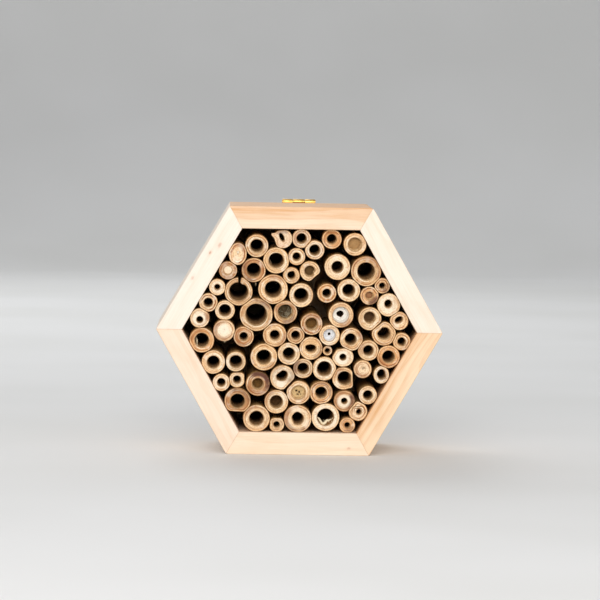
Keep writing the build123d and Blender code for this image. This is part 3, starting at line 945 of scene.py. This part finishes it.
def make_cane(cane):
    """One cane as a closed mesh: skin, cut face, bore and whatever closes the bore."""
    rng = random.Random(1000 + cane.number)
    angles = np.linspace(0, 2 * math.pi, AROUND, endpoint=False)
    if cane.number == SPLIT_CANE:
        low_edge, high_edge = (math.radians(edge) for edge in SPLIT_EDGES)
        angles = np.linspace(high_edge, low_edge + 2 * math.pi, AROUND)
    cos, sin = np.cos(angles), np.sin(angles)
    skin = skin_outline(cane, angles, rng)
    lift = cut_face(rng)
    loft = Loft(cane)
    length = cane.back - cane.mouth
    node_at = rng.uniform(16, 60)

    def skin_ring(depth, inset=0.0, end=0.0):
        groove = 0.3 * math.exp(-(((depth - node_at) / 0.9) ** 2))
        fade = max(0.0, 1 - depth / 3.5)
        reach = np.minimum(skin, cane.outline(angles)) * (1 - fade) + skin * fade
        reach = reach - inset - groove
        xs, zs = reach * cos, reach * sin
        near_mouth = lift(xs, zs) if depth < 1 else 0.0
        loft.ring(xs, depth + near_mouth, zs, wall=1.0, end=end, deep=depth, rim=inset)

    for depth in (length, 60, 45, 30, 20, 12, 7, 4, 2, 0.9):
        skin_ring(min(depth, length))
    skin_ring(0.35)
    skin_ring(SKIN_EDGE, 0.0, 0.25)
    skin_ring(0.03, 0.03, 0.75)
    skin_ring(0.0, SKIN_EDGE, 1.0)

    middle_x = middle_z = 0.0
    inner = np.zeros(AROUND)
    if cane.bore is not None:
        middle_x, middle_z = cane.bore[:2]
        inner = bore_outline(cane, angles, rng)
    edge_xs, edge_zs = (skin - SKIN_EDGE) * cos, (skin - SKIN_EDGE) * sin
    bore_xs, bore_zs = middle_x + inner * cos, middle_z + inner * sin
    thick = np.hypot(edge_xs - bore_xs, edge_zs - bore_zs)
    fuzz = np.array([rng.uniform(-0.025, 0.025) for _ in range(AROUND)])

    def face_ring(wall):
        xs = bore_xs + (edge_xs - bore_xs) * wall
        zs = bore_zs + (edge_zs - bore_zs) * wall
        pit, dark = pits_in(cane.number, xs, zs) if cane.bore is None else (0.0, 0.0)
        fibres = np.array([rng.uniform(-0.012, 0.012) for _ in range(AROUND)])
        ys = lift(xs, zs) + fuzz * wall + fibres + pit
        rim = thick * (1 - wall) + SKIN_EDGE
        shows = {"rim": rim, "lip": thick * wall, "dark": dark}
        shows["pale"] = paleness(cane.number, xs, zs)
        loft.ring(xs, ys, zs, wall=wall, end=1.0, **shows)

    if cane.bore is None:
        for wall in (0.97, 0.92, 0.84, 0.75, 0.66, 0.57, 0.48, 0.4, 0.32, 0.25, 0.18, 0.12, 0.06):
            face_ring(wall)
        loft.close()
        loft.cap_back()
    else:
        for wall in (0.96, 0.9, 0.81, 0.72, 0.62, 0.52, 0.42, 0.32, 0.22, 0.13, 0.05):
            face_ring(wall)
        make_bore(cane, loft, lift, inner, (cos, sin), rng)
    dress_mouth(cane, loft, skin, rng)

    piece = make_object(f"bamboo_{cane.number:02d}", loft.points, loft.faces, "house")
    outward_normals(piece)
    paint_cane(piece, cane, loft, rng)
    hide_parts(cane.node)
    return piece


def make_bore(cane, loft, lift, inner, turns, rng):
    """The bore's wall, narrowing and wandering with depth, then its end."""
    cos, sin = turns
    middle_x, middle_z, half_width, half_height = cane.bore
    lean_x, lean_z = bore_lean(cane)
    length = cane.back - cane.mouth
    bore_length = length if cane.depth is None else cane.depth
    reach_in = min(1.1 * (half_width + half_height), 0.6 * bore_length)
    funnel = 0.8 * (cane.number in PITH_HOLES)

    def section(depth):
        share = 1 - math.exp(-depth / reach_in)
        share *= 1 - smooth_step(length - 12, length, depth) if cane.depth is None else 1
        shrink = 1 - 0.16 * share
        ripple = 1 + 0.02 * math.sin(depth * 0.5 + cane.number)
        x = middle_x + lean_x * share
        z = middle_z + lean_z * share
        return x, z, inner * shrink * ripple

    def bore_ring(depth, grow=0.0):
        x, z, reach = section(depth)
        xs, zs = x + (reach + grow) * cos, z + (reach + grow) * sin
        most = cane.outline(np.arctan2(zs, xs)) - 0.45
        pull = np.minimum(1.0, most / np.maximum(np.hypot(xs, zs), 1e-6))
        xs, zs = xs * pull, zs * pull
        near_mouth = lift(xs, zs) if depth < 1 else 0.0
        end = max(0.0, 0.7 - depth * 1.6)
        loft.ring(xs, depth + near_mouth, zs, wall=0.0, end=end, deep=depth, floor=funnel)

    bore_ring(0.02, 0.05)
    bore_ring(0.14)
    for depth in (0.4, 0.8, 1.3, 2.0, 2.8, 3.8, 5.0, 6.5, 8.5, 11, 14, 18, 24, 34, 50, 66):
        if depth < bore_length - 0.3:
            bore_ring(depth)
    if cane.depth is None:
        bore_ring(bore_length)
        loft.join_ends()
        return
    x, z, reach = section(bore_length)
    make_plug(cane, loft, (x, z), reach, turns, rng)
    loft.cap_back()


def make_plug(cane, loft, middle, reach, turns, rng):
    """The node wall or pith that closes a bore, dished and rough, sometimes with a hole."""
    cos, sin = turns
    angles = np.arctan2(sin, cos)
    rough = FLOORS.get(cane.number, USUAL_FLOOR)[1]
    shift_x, shift_z, hole = PITH_HOLES.get(cane.number, (0.0, 0.0, 0.0))
    hole_edge = hole * (1 + harmonics(angles, rng, 2, 6, 0.16))
    seed = Vector((cane.number * 7.1, 3.3, 1.7))

    def plug_ring(share, sink):
        ring = hole_edge + (reach - hole_edge) * share
        xs = middle[0] + shift_x * (1 - share) + ring * cos
        zs = middle[1] + shift_z * (1 - share) + ring * sin
        bumps = [noise_at(Vector((x, 0.0, z)) * 0.9 + seed) for x, z in zip(xs, zs)]
        pit, dark = pits_in(cane.number, xs, zs)
        ys = cane.depth + sink + rough * np.array(bumps) * (1 - share**4) + pit
        loft.ring(xs, ys, zs, floor=1.0, deep=cane.depth, wall=share, dark=dark)

    for share in (0.98, 0.93, 0.86, 0.77, 0.68, 0.58, 0.48, 0.38, 0.28, 0.18, 0.08):
        plug_ring(share, -0.7 * (1 - share) if hole else -0.35 * (1 - share**2))
    if not hole:
        loft.close()
        return
    # Painted shade: the hole through the pith is given more depth than it has, so that the bore's
    # painted shade darkens it sooner.
    for deeper in (0.0, 0.25, 0.8, 2.0, 4.5, 9.0, 15.0):
        xs = middle[0] + shift_x + hole_edge * cos
        zs = middle[1] + shift_z + hole_edge * sin
        loft.ring(xs, cane.depth - 0.6 + deeper, zs, deep=4 + 2 * deeper, floor=0.2)
    loft.close()


def noise_at(place):
    """Smooth noise between about -1 and 1 that is the same on every run."""
    return noise.noise(place) + 0.5 * noise.noise(place * 2.3) + 0.25 * noise.noise(place * 5.1)


def wavy_path(start, end, steps, sway, rng):
    """A path between two points with a gentle random sway."""
    start, end = Vector(start), Vector(end)
    phase = [rng.uniform(0, 6) for _ in range(3)]
    path = []
    for step in range(steps + 1):
        share = step / steps
        bend = math.sin(math.pi * share) * sway
        swing = Vector(
            (
                bend * math.sin(phase[0] + 3 * share),
                0.5 * bend * math.sin(phase[1] + 3 * share),
                bend * math.sin(phase[2] + 3 * share),
            )
        )
        path.append(start.lerp(end, share) + swing)
    return path


def dress_mouth(cane, loft, skin, rng):
    """Loose fibres round the cut, and the shreds, webs and curls that some bores hold."""
    for _ in range(rng.randint(2, 6)):
        turn = rng.randrange(AROUND)
        facing = turn / AROUND * 2 * math.pi
        out = skin[turn] - rng.uniform(0.1, 0.5)
        begin = (out * math.cos(facing), 0.25, out * math.sin(facing))
        lean = facing + rng.uniform(-0.9, 0.9)
        long = rng.uniform(0.3, 0.8)
        end = (
            begin[0] + 0.4 * long * math.cos(lean),
            rng.uniform(-0.4, 0.1),
            begin[2] + 0.4 * long * math.sin(lean),
        )
        loft.strand(wavy_path(begin, end, 4, 0.08, rng), 0.14, 0.05, rng.uniform(0.5, 1.0))
    dresser = MOUTH_DRESSERS.get(cane.number)
    if dresser is not None:
        dresser(cane, loft, rng)


def dress_web(cane, loft, rng):
    """A grey-green web of papery fibres across a bore, painted paler to the lower right and darker to
    the upper left as light and shade.
    """
    radius = cane.bore[2]
    for _ in range(34):
        first = rng.uniform(0, 2 * math.pi)
        second = first + rng.uniform(1.6, 4.6)
        depth = rng.uniform(3.2, 5.4)
        begin = (radius * 0.93 * math.cos(first), depth, radius * 0.93 * math.sin(first))
        end = (
            radius * 0.93 * math.cos(second) - 0.4,
            depth + rng.uniform(-0.8, 0.8),
            radius * 0.93 * math.sin(second) + 0.4,
        )
        path = wavy_path(begin, end, 9, rng.uniform(0.4, 1.5), rng)
        middle = path[5]
        # Painted light and shade: each fibre is made paler towards the lower right of the bore and
        # darker towards the upper left, as the light falls.
        painted_light_share = 0.5 + 0.45 * (middle.x - middle.z) / radius + rng.uniform(-0.15, 0.15)
        shade = -min(1.0, max(0.25, painted_light_share))
        loft.strand(path, rng.uniform(0.12, 0.34), 0.05, shade)


def dress_curl(cane, loft, rng):
    """A thin strip of pith that has peeled off the left of a bore and curls back."""
    radius = cane.bore[2]
    for turn, size in ((0.0, 1.0), (0.5, 0.7)):
        path = []
        for step in range(15):
            share = step / 14
            facing = math.pi * (1.28 - 0.5 * share) + turn * 0.3
            curl = radius * (0.96 - 0.34 * size * math.sin(math.pi * share))
            path.append((curl * math.cos(facing), 0.4 + 1.6 * share, curl * math.sin(facing)))
        loft.strand(path, 0.42 * size, 0.12, 0.9)


def dress_thin_curl(cane, loft, rng):
    """A brown thread of pith inside the left of a bore."""
    radius = cane.bore[2]
    path = []
    for step in range(13):
        share = step / 12
        facing = math.pi * (0.95 + 0.42 * share)
        curl = radius * (0.9 - 0.16 * math.sin(math.pi * share * 1.5))
        path.append((curl * math.cos(facing), 1.0 + 1.0 * share, curl * math.sin(facing)))
    loft.strand(path, 0.28, 0.1, 0.45)


def dress_torn_wall(cane, loft, rng):
    """What is left of a node wall: a brown sheet across the bottom of the bore, under a
    ragged cream edge that has curled over."""
    radius = cane.bore[2] * 0.98
    rim_places = [-0.97, -0.78, -0.6, -0.4, -0.2, 0.0, 0.18, 0.36, 0.55, 0.75, 0.96]
    rim_heights = [-0.02, -0.20, -0.50, -0.78, -0.82, -0.64, -0.38, -0.46, -0.28, -0.24, -0.04]
    columns, rows = 36, 7
    edge = []
    for column in range(columns + 1):
        across = -0.97 + 1.93 * column / columns
        up = float(np.interp(across, rim_places, rim_heights)) + 0.03 * math.sin(31 * across)
        edge.append((across, max(-math.sqrt(1 - across**2) + 0.04, up)))
    sheets = []
    for thickness in (0.0, 0.16):
        xs, ys, zs = [], [], []
        for row in range(rows + 1):
            share = row / rows
            for across, top in edge:
                low = -math.sqrt(max(0.0, 1 - across**2))
                xs.append(across * radius)
                zs.append((low + (top - low) * share) * radius)
                wave = 0.25 * math.sin(across * 9 + 3 * share) + 0.12 * math.sin(across * 23)
                ys.append(2.4 - 0.8 * share + wave + thickness)
        sheets.append(loft.add(xs, np.array(ys), zs, wall=0.5, end=1.0, strand=0.16))
    width = columns + 1
    front, back = sheets
    for row in range(rows):
        for column in range(columns):
            a, b = row * width + column, row * width + column + 1
            c, d = b + width, a + width
            loft.faces.append((front + a, front + b, front + c, front + d))
            loft.faces.append((back + d, back + c, back + b, back + a))
    border = list(range(width))
    border += [row * width + columns for row in range(1, rows + 1)]
    border += [rows * width + column for column in range(columns - 1, -1, -1)]
    border += [row * width for row in range(rows - 1, 0, -1)]
    for index, here in enumerate(border):
        there = border[(index + 1) % len(border)]
        loft.faces.append((front + there, front + here, back + here, back + there))
    rolled = [(across * radius, 0.85 + 0.2 * math.sin(9 * across), up * radius) for across, up in edge]
    loft.strand(rolled, 1.9, 0.9, 1.0)
    loft.strand(rolled[:19], 1.5, 0.9, 1.0)
    for _ in range(12):
        across = rng.uniform(-0.1, 0.85)
        begin = (across * radius, 1.5, -rng.uniform(0.55, 0.7) * radius)
        end = (across * radius + rng.uniform(-1.0, 1.0), 1.1, -rng.uniform(0.3, 0.5) * radius)
        loft.strand(wavy_path(begin, end, 6, 0.35, rng), 0.3, 0.08, rng.uniform(0.6, 1.0))


def dress_threads(cane, loft, rng):
    """Fibres hanging from the bottom of the cut."""
    drop = cane.outline(np.array([-math.pi / 2]))[0]
    for _ in range(7):
        x = -0.6 + 1.5 * rng.random()
        begin = (x, 0.4, -drop + 0.25)
        end = (x + rng.uniform(-0.9, 0.9), rng.uniform(-0.3, 0.5), -drop - rng.uniform(0.2, 1.2))
        loft.strand(wavy_path(begin, end, 5, 0.2, rng), 0.16, 0.06, rng.uniform(0.4, 0.9))


def dress_sliver(x, long, lean):
    """A dresser for one long sliver that hangs from the bottom of the cut."""

    def dresser(cane, loft, rng):
        drop = math.sqrt(max(0.0, cane.outline(np.array([-math.pi / 2]))[0] ** 2 - x * x))
        begin = (x, 0.6, -drop + 0.2)
        end = (x + lean, 0.3, -drop - long)
        loft.strand(wavy_path(begin, end, 6, 0.25, rng), 0.4, 0.12, 0.55)

    return dresser


def dress_crease(cane, loft, rng):
    """A crease of skin folded in over the top of a narrow bore."""
    for size, lift_by in ((3.4, 0.0), (2.2, 0.12)):
        path = []
        for step in range(17):
            share = step / 16
            facing = math.pi * (1.05 - 1.35 * share)
            radius = size * (1 + 0.18 * math.sin(3 * facing))
            path.append((radius * math.cos(facing), 0.16 - lift_by, 0.3 + radius * math.sin(facing)))
        loft.strand(path, 0.5, 0.3, 0.2)


MOUTH_DRESSERS = {
    8: dress_thin_curl,
    13: dress_sliver(1.2, 2.6, 0.1),
    28: dress_web,
    34: dress_threads,
    36: dress_curl,
    37: dress_sliver(-5.4, 0.8, -0.5),
    64: dress_sliver(-5.6, 1.4, 0.6),
    67: dress_crease,
    71: dress_torn_wall,
}


def paint_cane(piece, cane, loft, rng):
    """Keeps on the mesh what its material reads: zones, depths, tones and stains."""
    count = len(piece.data.vertices)
    _, _, tone, rim_line, band = CANE_LOOKS[cane.number - 1]
    shade = rng.uniform(0.94, 1.05)
    warm = rng.uniform(-0.015, 0.02)
    vary = np.array([shade * (1 + warm), shade, shade * (1 - 1.5 * warm), 1.0])
    lining, face, outer = (np.array(linear(*colour)) * vary for colour in TONES[tone])
    floor = np.array(linear(*FLOORS.get(cane.number, USUAL_FLOOR)[0]))
    tones = {"face": face, "lining": lining, "outer": outer, "floor": floor}
    for zone, colour in tones.items():
        store(piece, zone + "_tone", "FLOAT_COLOR", [colour] * count)
    constants = {"rim_line": rim_line, "band": band, "band_at": rng.uniform(*RING_DEPTH)}
    for name, value in constants.items():
        store(piece, name, "FLOAT", [value] * count)
    for key, values in loft.shows.items():
        store(piece, key, "FLOAT", values)
    points = np.array(loft.points)
    angles = np.arctan2(points[:, 2] - cane.z, points[:, 0] - cane.x)
    rim = np.array(loft.shows["rim"])
    stain = {"grey": np.zeros(count), "brown": np.zeros(count)}
    for direction, half_width, strength, kind in rows_of(STAINS, cane.number):
        off = np.abs(turned_by(angles, direction))
        share = strength * (1 - smooth_step(half_width * 0.5, half_width, off))
        share = share * (1 - smooth_step(*STAIN_REACH, rim)) * np.array(loft.shows["end"])
        stain[kind] = np.maximum(stain[kind], share)
    for kind, values in stain.items():
        store(piece, kind + "_stain", "FLOAT", values)


def bamboo():
    """Sawn bamboo: fibrous cut ends with a darker skin line, satin skins and papery bores, the bores
    with painted shade that deepens inwards and the webs' fibres with painted light and shade.
    """
    recipe = Recipe("bamboo")
    place = recipe.node("ShaderNodeTexCoord").outputs["Object"]
    wall, end, deep, floor, rim, lip, dark, pale, strand = (
        recipe.attribute(name) for name in Loft.KEYS
    )
    mottle = recipe.noise(place, 520.0, 4.0, 0.62)
    broad = recipe.noise(place, 170.0, 3.0, 0.55)
    patches = recipe.noise(place, 95.0, 2.0, 0.5)
    grain = recipe.noise(place, 1500.0, 3.0, 0.6)
    wander = recipe.math("MULTIPLY", recipe.math("SUBTRACT", broad, 0.5), 0.9)
    fine = recipe.math("MULTIPLY", recipe.math("SUBTRACT", mottle, 0.5), 0.4)
    inward = recipe.math("ADD", recipe.math("ADD", rim, wander), fine)

    lining_share = recipe.ramp(recipe.math("ADD", lip, wander), 0.3, 0.8, 0.9, 0.0)
    face_tone = recipe.attribute("face_tone", "Color")
    outer_share = recipe.ramp(recipe.math("ADD", wall, wander), 0.5, 0.8)
    face = recipe.mix(outer_share, face_tone, recipe.attribute("outer_tone", "Color"))
    face = recipe.mix(lining_share, face, recipe.attribute("lining_tone", "Color"))
    axes = recipe.node("ShaderNodeSeparateXYZ", {0: place})
    layer_inputs = {
        "X": recipe.math("MULTIPLY", inward, 0.95),
        "Y": recipe.math("MULTIPLY", axes.outputs["X"], 75.0),
        "Z": recipe.math("MULTIPLY", axes.outputs["Z"], 75.0),
    }
    layer_place = recipe.node("ShaderNodeCombineXYZ", layer_inputs).outputs[0]
    layers = recipe.noise(layer_place, 1.0, 4.0, 0.65)
    band = recipe.attribute("band")
    near_skin = recipe.ramp(rim, 1.2, 3.6, 1.0, 0.4)
    brown_layer = recipe.math("MULTIPLY", recipe.ramp(layers, 0.52, 0.62), near_skin)
    brown_layer = recipe.math("MULTIPLY", brown_layer, recipe.ramp(band, 0.0, 1.0, 0.3, 0.9))
    face = recipe.mix(brown_layer, face, linear(168, 98, 44))
    pale_layer = recipe.ramp(layers, 0.38, 0.47, 0.85, 0.0)
    face = recipe.mix(pale_layer, face, linear(254, 238, 208))
    second = recipe.math("ABSOLUTE", recipe.math("SUBTRACT", inward, recipe.attribute("band_at")))
    light_ring = recipe.math("ABSOLUTE", recipe.math("SUBTRACT", inward, 0.5))
    light_ring = recipe.ramp(light_ring, 0.1, 0.35, 0.75, 0.0)
    face = recipe.mix(light_ring, face, linear(255, 222, 170))
    ring = recipe.ramp(second, 0.14, 0.46, 1.0, 0.0)
    ring = recipe.math("MULTIPLY", ring, recipe.ramp(patches, 0.38, 0.54, 0.3, 1.0))
    ring = recipe.math("MULTIPLY", ring, recipe.ramp(broad, 0.34, 0.56, 0.45, 1.0))
    ring = recipe.math("MULTIPLY", ring, recipe.ramp(band, 0.0, 1.0, 0.2, 1.1), clamp=True)
    face = recipe.mix(ring, face, linear(138, 72, 28))
    bundles = recipe.node(
        "ShaderNodeTexVoronoi",
        {"Vector": place, "Scale": 1500.0, "Randomness": 0.95},
        feature="F1",
    )
    spot = recipe.ramp(bundles.outputs["Distance"], 0.12, 0.4, 1.0, 0.0)
    crowd = recipe.ramp(rim, 0.2, 3.0, 0.45, 0.15)
    face = recipe.mix(recipe.math("MULTIPLY", spot, crowd), face, linear(168, 118, 74))
    face = recipe.mix(recipe.ramp(grain, 0.5, 0.64, 0.0, 0.45), face, linear(160, 112, 74))
    face = recipe.mix(recipe.ramp(mottle, 0.52, 0.66, 0.0, 0.42), face, linear(190, 136, 86))
    face = recipe.mix(recipe.ramp(broad, 0.52, 0.68, 0.0, 0.45), face, linear(254, 242, 220))
    skin_line = recipe.ramp(recipe.math("ADD", rim, fine), 0.1, 0.42, 1.0, 0.0)
    skin_line = recipe.math("MULTIPLY", skin_line, recipe.ramp(patches, 0.4, 0.62, 0.95, 0.4))
    skin_line = recipe.math("MULTIPLY", skin_line, recipe.attribute("rim_line"))
    face = recipe.mix(skin_line, face, linear(166, 100, 50))
    bore_line = recipe.ramp(recipe.math("ADD", lip, fine), 0.08, 0.55, 0.75, 0.0)
    face = recipe.mix(bore_line, face, linear(146, 100, 60))
    grey = recipe.attribute("grey_stain")
    brown = recipe.attribute("brown_stain")
    patchy = recipe.ramp(broad, 0.32, 0.58, 0.5, 1.0)
    face = recipe.mix(recipe.math("MULTIPLY", grey, patchy), face, linear(100, 62, 46))
    face = recipe.mix(recipe.math("MULTIPLY", brown, patchy), face, linear(152, 94, 54))
    face = recipe.mix(dark, face, linear(96, 66, 42))
    face = recipe.mix(recipe.math("MULTIPLY", pale, 0.7), face, linear(250, 236, 212))

    along = recipe.vector("MULTIPLY", place, (1100.0, 12.0, 1100.0))
    lines = recipe.noise(along, 1.0, 3.0, 0.6)
    skin = recipe.mix(recipe.ramp(lines, 0.3, 0.7), linear(186, 142, 84), linear(224, 188, 126))
    skin = recipe.mix(recipe.ramp(broad, 0.45, 0.7, 0.0, 0.55), skin, linear(128, 88, 50))
    lining = recipe.mix(recipe.ramp(lines, 0.35, 0.7), linear(190, 150, 100), linear(226, 196, 148))
    # Painted shade: the bore's wall is painted darker with depth, brown over its first 5 mm and near
    # black from 9 to 30 mm in.
    lining = recipe.mix(recipe.ramp(deep, 0.3, 5.0, 0.0, 0.75), lining, linear(132, 92, 52))
    lining = recipe.mix(recipe.ramp(deep, 9.0, 30.0, 0.0, 0.8), lining, linear(60, 40, 22))
    floor_colour = recipe.mix(
        recipe.ramp(mottle, 0.42, 0.75, 0.0, 0.35),
        recipe.attribute("floor_tone", "Color"),
        linear(120, 88, 58),
    )
    floor_colour = recipe.mix(dark, floor_colour, linear(52, 34, 20))
    side = recipe.mix(recipe.ramp(wall, 0.45, 0.55), lining, skin)
    side = recipe.mix(floor, side, floor_colour)
    colour = recipe.mix(end, side, face)
    torn = recipe.mix(recipe.ramp(strand, 0.2, 1.0), linear(150, 108, 66), linear(244, 226, 190))
    colour = recipe.mix(recipe.ramp(strand, 0.0, 0.15), colour, torn)
    # The web's fibres: how far their strand value lies below zero is painted light and shade, paler the
    # further below.
    papery = recipe.mix(
        recipe.ramp(strand, -0.9, -0.35, 1.0, 0.0), linear(84, 66, 38), linear(226, 216, 184)
    )
    colour = recipe.mix(recipe.ramp(strand, -0.15, 0.0, 1.0, 0.0), colour, papery)

    is_skin = recipe.math("MULTIPLY", recipe.ramp(wall, 0.9, 1.0), recipe.math("SUBTRACT", 1.0, end))
    is_skin = recipe.math("MULTIPLY", is_skin, recipe.math("SUBTRACT", 1.0, floor), clamp=True)
    roughness = recipe.ramp(is_skin, 0.0, 1.0, 0.76, 0.42)
    roughness = recipe.math("ADD", roughness, recipe.ramp(mottle, 0.3, 0.7, -0.05, 0.06))
    relief = recipe.bump(mottle, 0.2, 0.7)
    relief = recipe.bump(spot, 0.07, 0.5, relief)
    relief = recipe.bump(lines, 0.05, 0.4, relief)
    return recipe.finish(colour, roughness, relief, Specular_IOR_Level=0.3)


# ---------------------------------------------------------------- metal and plywood
def brass():
    """Bright brass, a little dulled and finely brushed."""
    recipe = Recipe("brass")
    place = recipe.node("ShaderNodeTexCoord").outputs["Object"]
    dull = recipe.noise(place, 260.0, 4.0, 0.6)
    brushed = recipe.noise(recipe.vector("MULTIPLY", place, (60.0, 2400.0, 2400.0)), 1.0, 2.0)
    colour = recipe.mix(recipe.ramp(dull, 0.35, 0.75), linear(242, 198, 106), linear(228, 176, 86))
    roughness = recipe.ramp(dull, 0.3, 0.75, 0.3, 0.42)
    relief = recipe.bump(brushed, 0.01, 0.4)
    return recipe.finish(colour, roughness, relief, Metallic=1.0)


def steel():
    """Bright nail steel with a little smudging."""
    recipe = Recipe("nail_steel")
    place = recipe.node("ShaderNodeTexCoord").outputs["Object"]
    smudge = recipe.noise(place, 700.0, 4.0, 0.6)
    colour = recipe.mix(recipe.ramp(smudge, 0.35, 0.75), linear(196, 196, 194), linear(138, 134, 128))
    roughness = recipe.ramp(smudge, 0.3, 0.75, 0.28, 0.5)
    return recipe.finish(colour, roughness, recipe.bump(smudge, 0.02, 0.4), Metallic=1.0)


def plywood():
    """Thin birch-faced plywood: long soft flames of grain along X and fine pores."""
    recipe = Recipe("plywood")
    place = recipe.node("ShaderNodeTexCoord").outputs["Object"]
    wave = recipe.noise(recipe.vector("MULTIPLY", place, (5.0, 5.0, 46.0)), 1.0, 3.0, 0.45, 0.3)
    fibre = recipe.noise(recipe.vector("MULTIPLY", place, (50.0, 3000.0, 3000.0)), 1.0, 4.0, 0.6)
    cloud = recipe.noise(place, 22.0, 3.0, 0.5)
    figure = recipe.math("PINGPONG", recipe.math("MULTIPLY", wave, 7.0), 1.0)
    lines = recipe.ramp(figure, 0.35, 1.0)
    lines = recipe.math("MULTIPLY", lines, recipe.ramp(cloud, 0.3, 0.7, 0.35, 0.8))
    colour = recipe.mix(lines, linear(240, 211, 174), linear(228, 188, 144))
    colour = recipe.mix(recipe.ramp(cloud, 0.45, 0.75, 0.0, 0.35), colour, linear(226, 190, 146))
    colour = recipe.mix(recipe.ramp(fibre, 0.45, 0.7, 0.0, 0.35), colour, linear(190, 146, 98))
    roughness = recipe.ramp(fibre, 0.3, 0.7, 0.55, 0.72)
    return recipe.finish(colour, roughness, recipe.bump(fibre, 0.06, 0.6), Specular_IOR_Level=0.3)


def soften_edges(piece, width):
    """A small rounding along the sharp edges of a CAD piece."""
    weld = piece.modifiers.new("weld", "WELD")
    weld.merge_threshold = 1e-6
    rounding = piece.modifiers.new("rounding", "BEVEL")
    rounding.width = width * MM
    rounding.segments = 2
    rounding.limit_method = "ANGLE"
    rounding.angle_limit = math.radians(35)


def dress_cad_nodes():
    """Materials for the CAD nodes that stay as they are, with softened edges on the metal."""
    metal = brass()
    looks = {
        "back_panel": plywood(),
        "back_panel_nails": steel(),
        "hinge_fixed_leaf": metal,
        "hinge_free_leaf": metal,
        "hinge_pin": metal,
        "hinge_screws": metal,
    }
    for node, material in looks.items():
        NODES[node].data.materials.clear()
        NODES[node].data.materials.append(material)
        if node != "back_panel":
            soften_edges(NODES[node], METAL_EDGE)


# ---------------------------------------------------------------- camera, floor and light
def make_camera():
    """A long lens from a little above and to the left of the open front."""
    eye = Vector((-44.0, -2129.0, 212.0)) * MM
    aim = Vector((0.0, FRONT_Y, CENTRE_Z)) * MM
    lens_length = 207.96
    roll = math.radians(0.98)
    tilt_up = math.radians(0.5158)
    turn_right = math.radians(0.0083)
    forward = (aim - eye).normalized()
    right = forward.cross(Vector((0, 0, 1))).normalized()
    up = right.cross(forward)
    right, up = (
        right * math.cos(roll) + up * math.sin(roll),
        up * math.cos(roll) - right * math.sin(roll),
    )
    forward = (forward + up * math.tan(tilt_up) + right * math.tan(turn_right)).normalized()
    right = forward.cross(up).normalized()
    up = right.cross(forward)
    data = bpy.data.cameras.new("camera")
    data.sensor_width = 36.0
    data.lens = lens_length
    data.clip_end = 50.0
    camera = bpy.data.objects.new("camera", data)
    turned = Matrix((right, up, -forward)).transposed().to_4x4()
    camera.matrix_world = Matrix.Translation(eye) @ turned
    bpy.context.scene.collection.objects.link(camera)
    bpy.context.scene.camera = camera


def make_floor_sheet():
    """A pale floor that curves up into a backdrop far behind."""
    recipe = Recipe("pale_floor")
    place = recipe.node("ShaderNodeTexCoord").outputs["Object"]
    soft = recipe.noise(place, 3.0, 2.0)
    colour = recipe.mix(recipe.ramp(soft, 0.3, 0.7), linear(236, 235, 233), linear(230, 229, 226))
    material = recipe.finish(colour, 0.8)
    profile = [(-6.0, 0.0), (2.2, 0.0)]
    for step in range(1, 13):
        turn = math.radians(90 * step / 12)
        profile.append((2.2 + 0.9 * math.sin(turn), 0.9 * (1 - math.cos(turn))))
    profile.append((3.1, 5.0))
    points, faces = [], []
    for y, z in profile:
        points.append((-6.0 / MM, y / MM, z / MM))
        points.append((6.0 / MM, y / MM, z / MM))
    for row in range(len(profile) - 1):
        low = 2 * row
        faces.append((low, low + 1, low + 3, low + 2))
    mesh = bpy.data.meshes.new("floor")
    mesh.from_pydata([tuple(np.asarray(p) * MM) for p in points], [], faces)
    for polygon in mesh.polygons:
        polygon.use_smooth = True
    mesh.materials.append(material)
    floor = bpy.data.objects.new("floor", mesh)
    bpy.context.scene.collection.objects.link(floor)


LAMPS = [  # each lamp: where it stands in metres, its size, its power in watts and its colour
    ("key", (-0.3, -2.1, 1.15), (1.9, 1.2), 23.0, (1.0, 0.975, 0.96)),
    ("front", (-0.15, -2.25, 0.8), (0.7, 0.5), 8.0, (1.0, 0.975, 0.95)),
    ("fill", (1.2, -1.9, 0.5), (1.2, 1.0), 8.5, (1.0, 0.98, 0.97)),
    ("back", (-0.6, 1.6, 1.4), (1.4, 1.0), 14.0, (0.96, 0.98, 1.0)),
]


def area_light(name, place, aim, size, power, colour):
    """A soft rectangular lamp."""
    data = bpy.data.lights.new(name, "AREA")
    data.shape = "RECTANGLE"
    data.size, data.size_y = size
    data.energy = power
    data.color = colour
    lamp = bpy.data.objects.new(name, data)
    lamp.location = place
    lamp.rotation_euler = (Vector(aim) - Vector(place)).to_track_quat("-Z", "Y").to_euler()
    bpy.context.scene.collection.objects.link(lamp)


def make_light():
    """Plain soft studio light: a big lamp in front and above, fills and a pale world."""
    middle = (0.0, 0.0, 0.07)
    for name, place, size, power, colour in LAMPS:
        area_light(name, place, middle, size, power, colour)
    world = bpy.data.worlds.new("world")
    world.use_nodes = True
    world.node_tree.nodes["Background"].inputs["Color"].default_value = (0.93, 0.96, 1.0, 1.0)
    world.node_tree.nodes["Background"].inputs["Strength"].default_value = 0.45
    bpy.context.scene.world = world
    view = bpy.context.scene.view_settings
    view.view_transform = "Standard"
    view.exposure = 0.0


# ---------------------------------------------------------------- put it together
def make_canes():
    """Every cane of the filling."""
    material = bamboo()
    for cane in read_canes():
        piece = make_cane(cane)
        piece.data.materials.append(material)


make_camera()
make_floor_sheet()
make_light()
make_staves()
make_canes()
dress_cad_nodes()
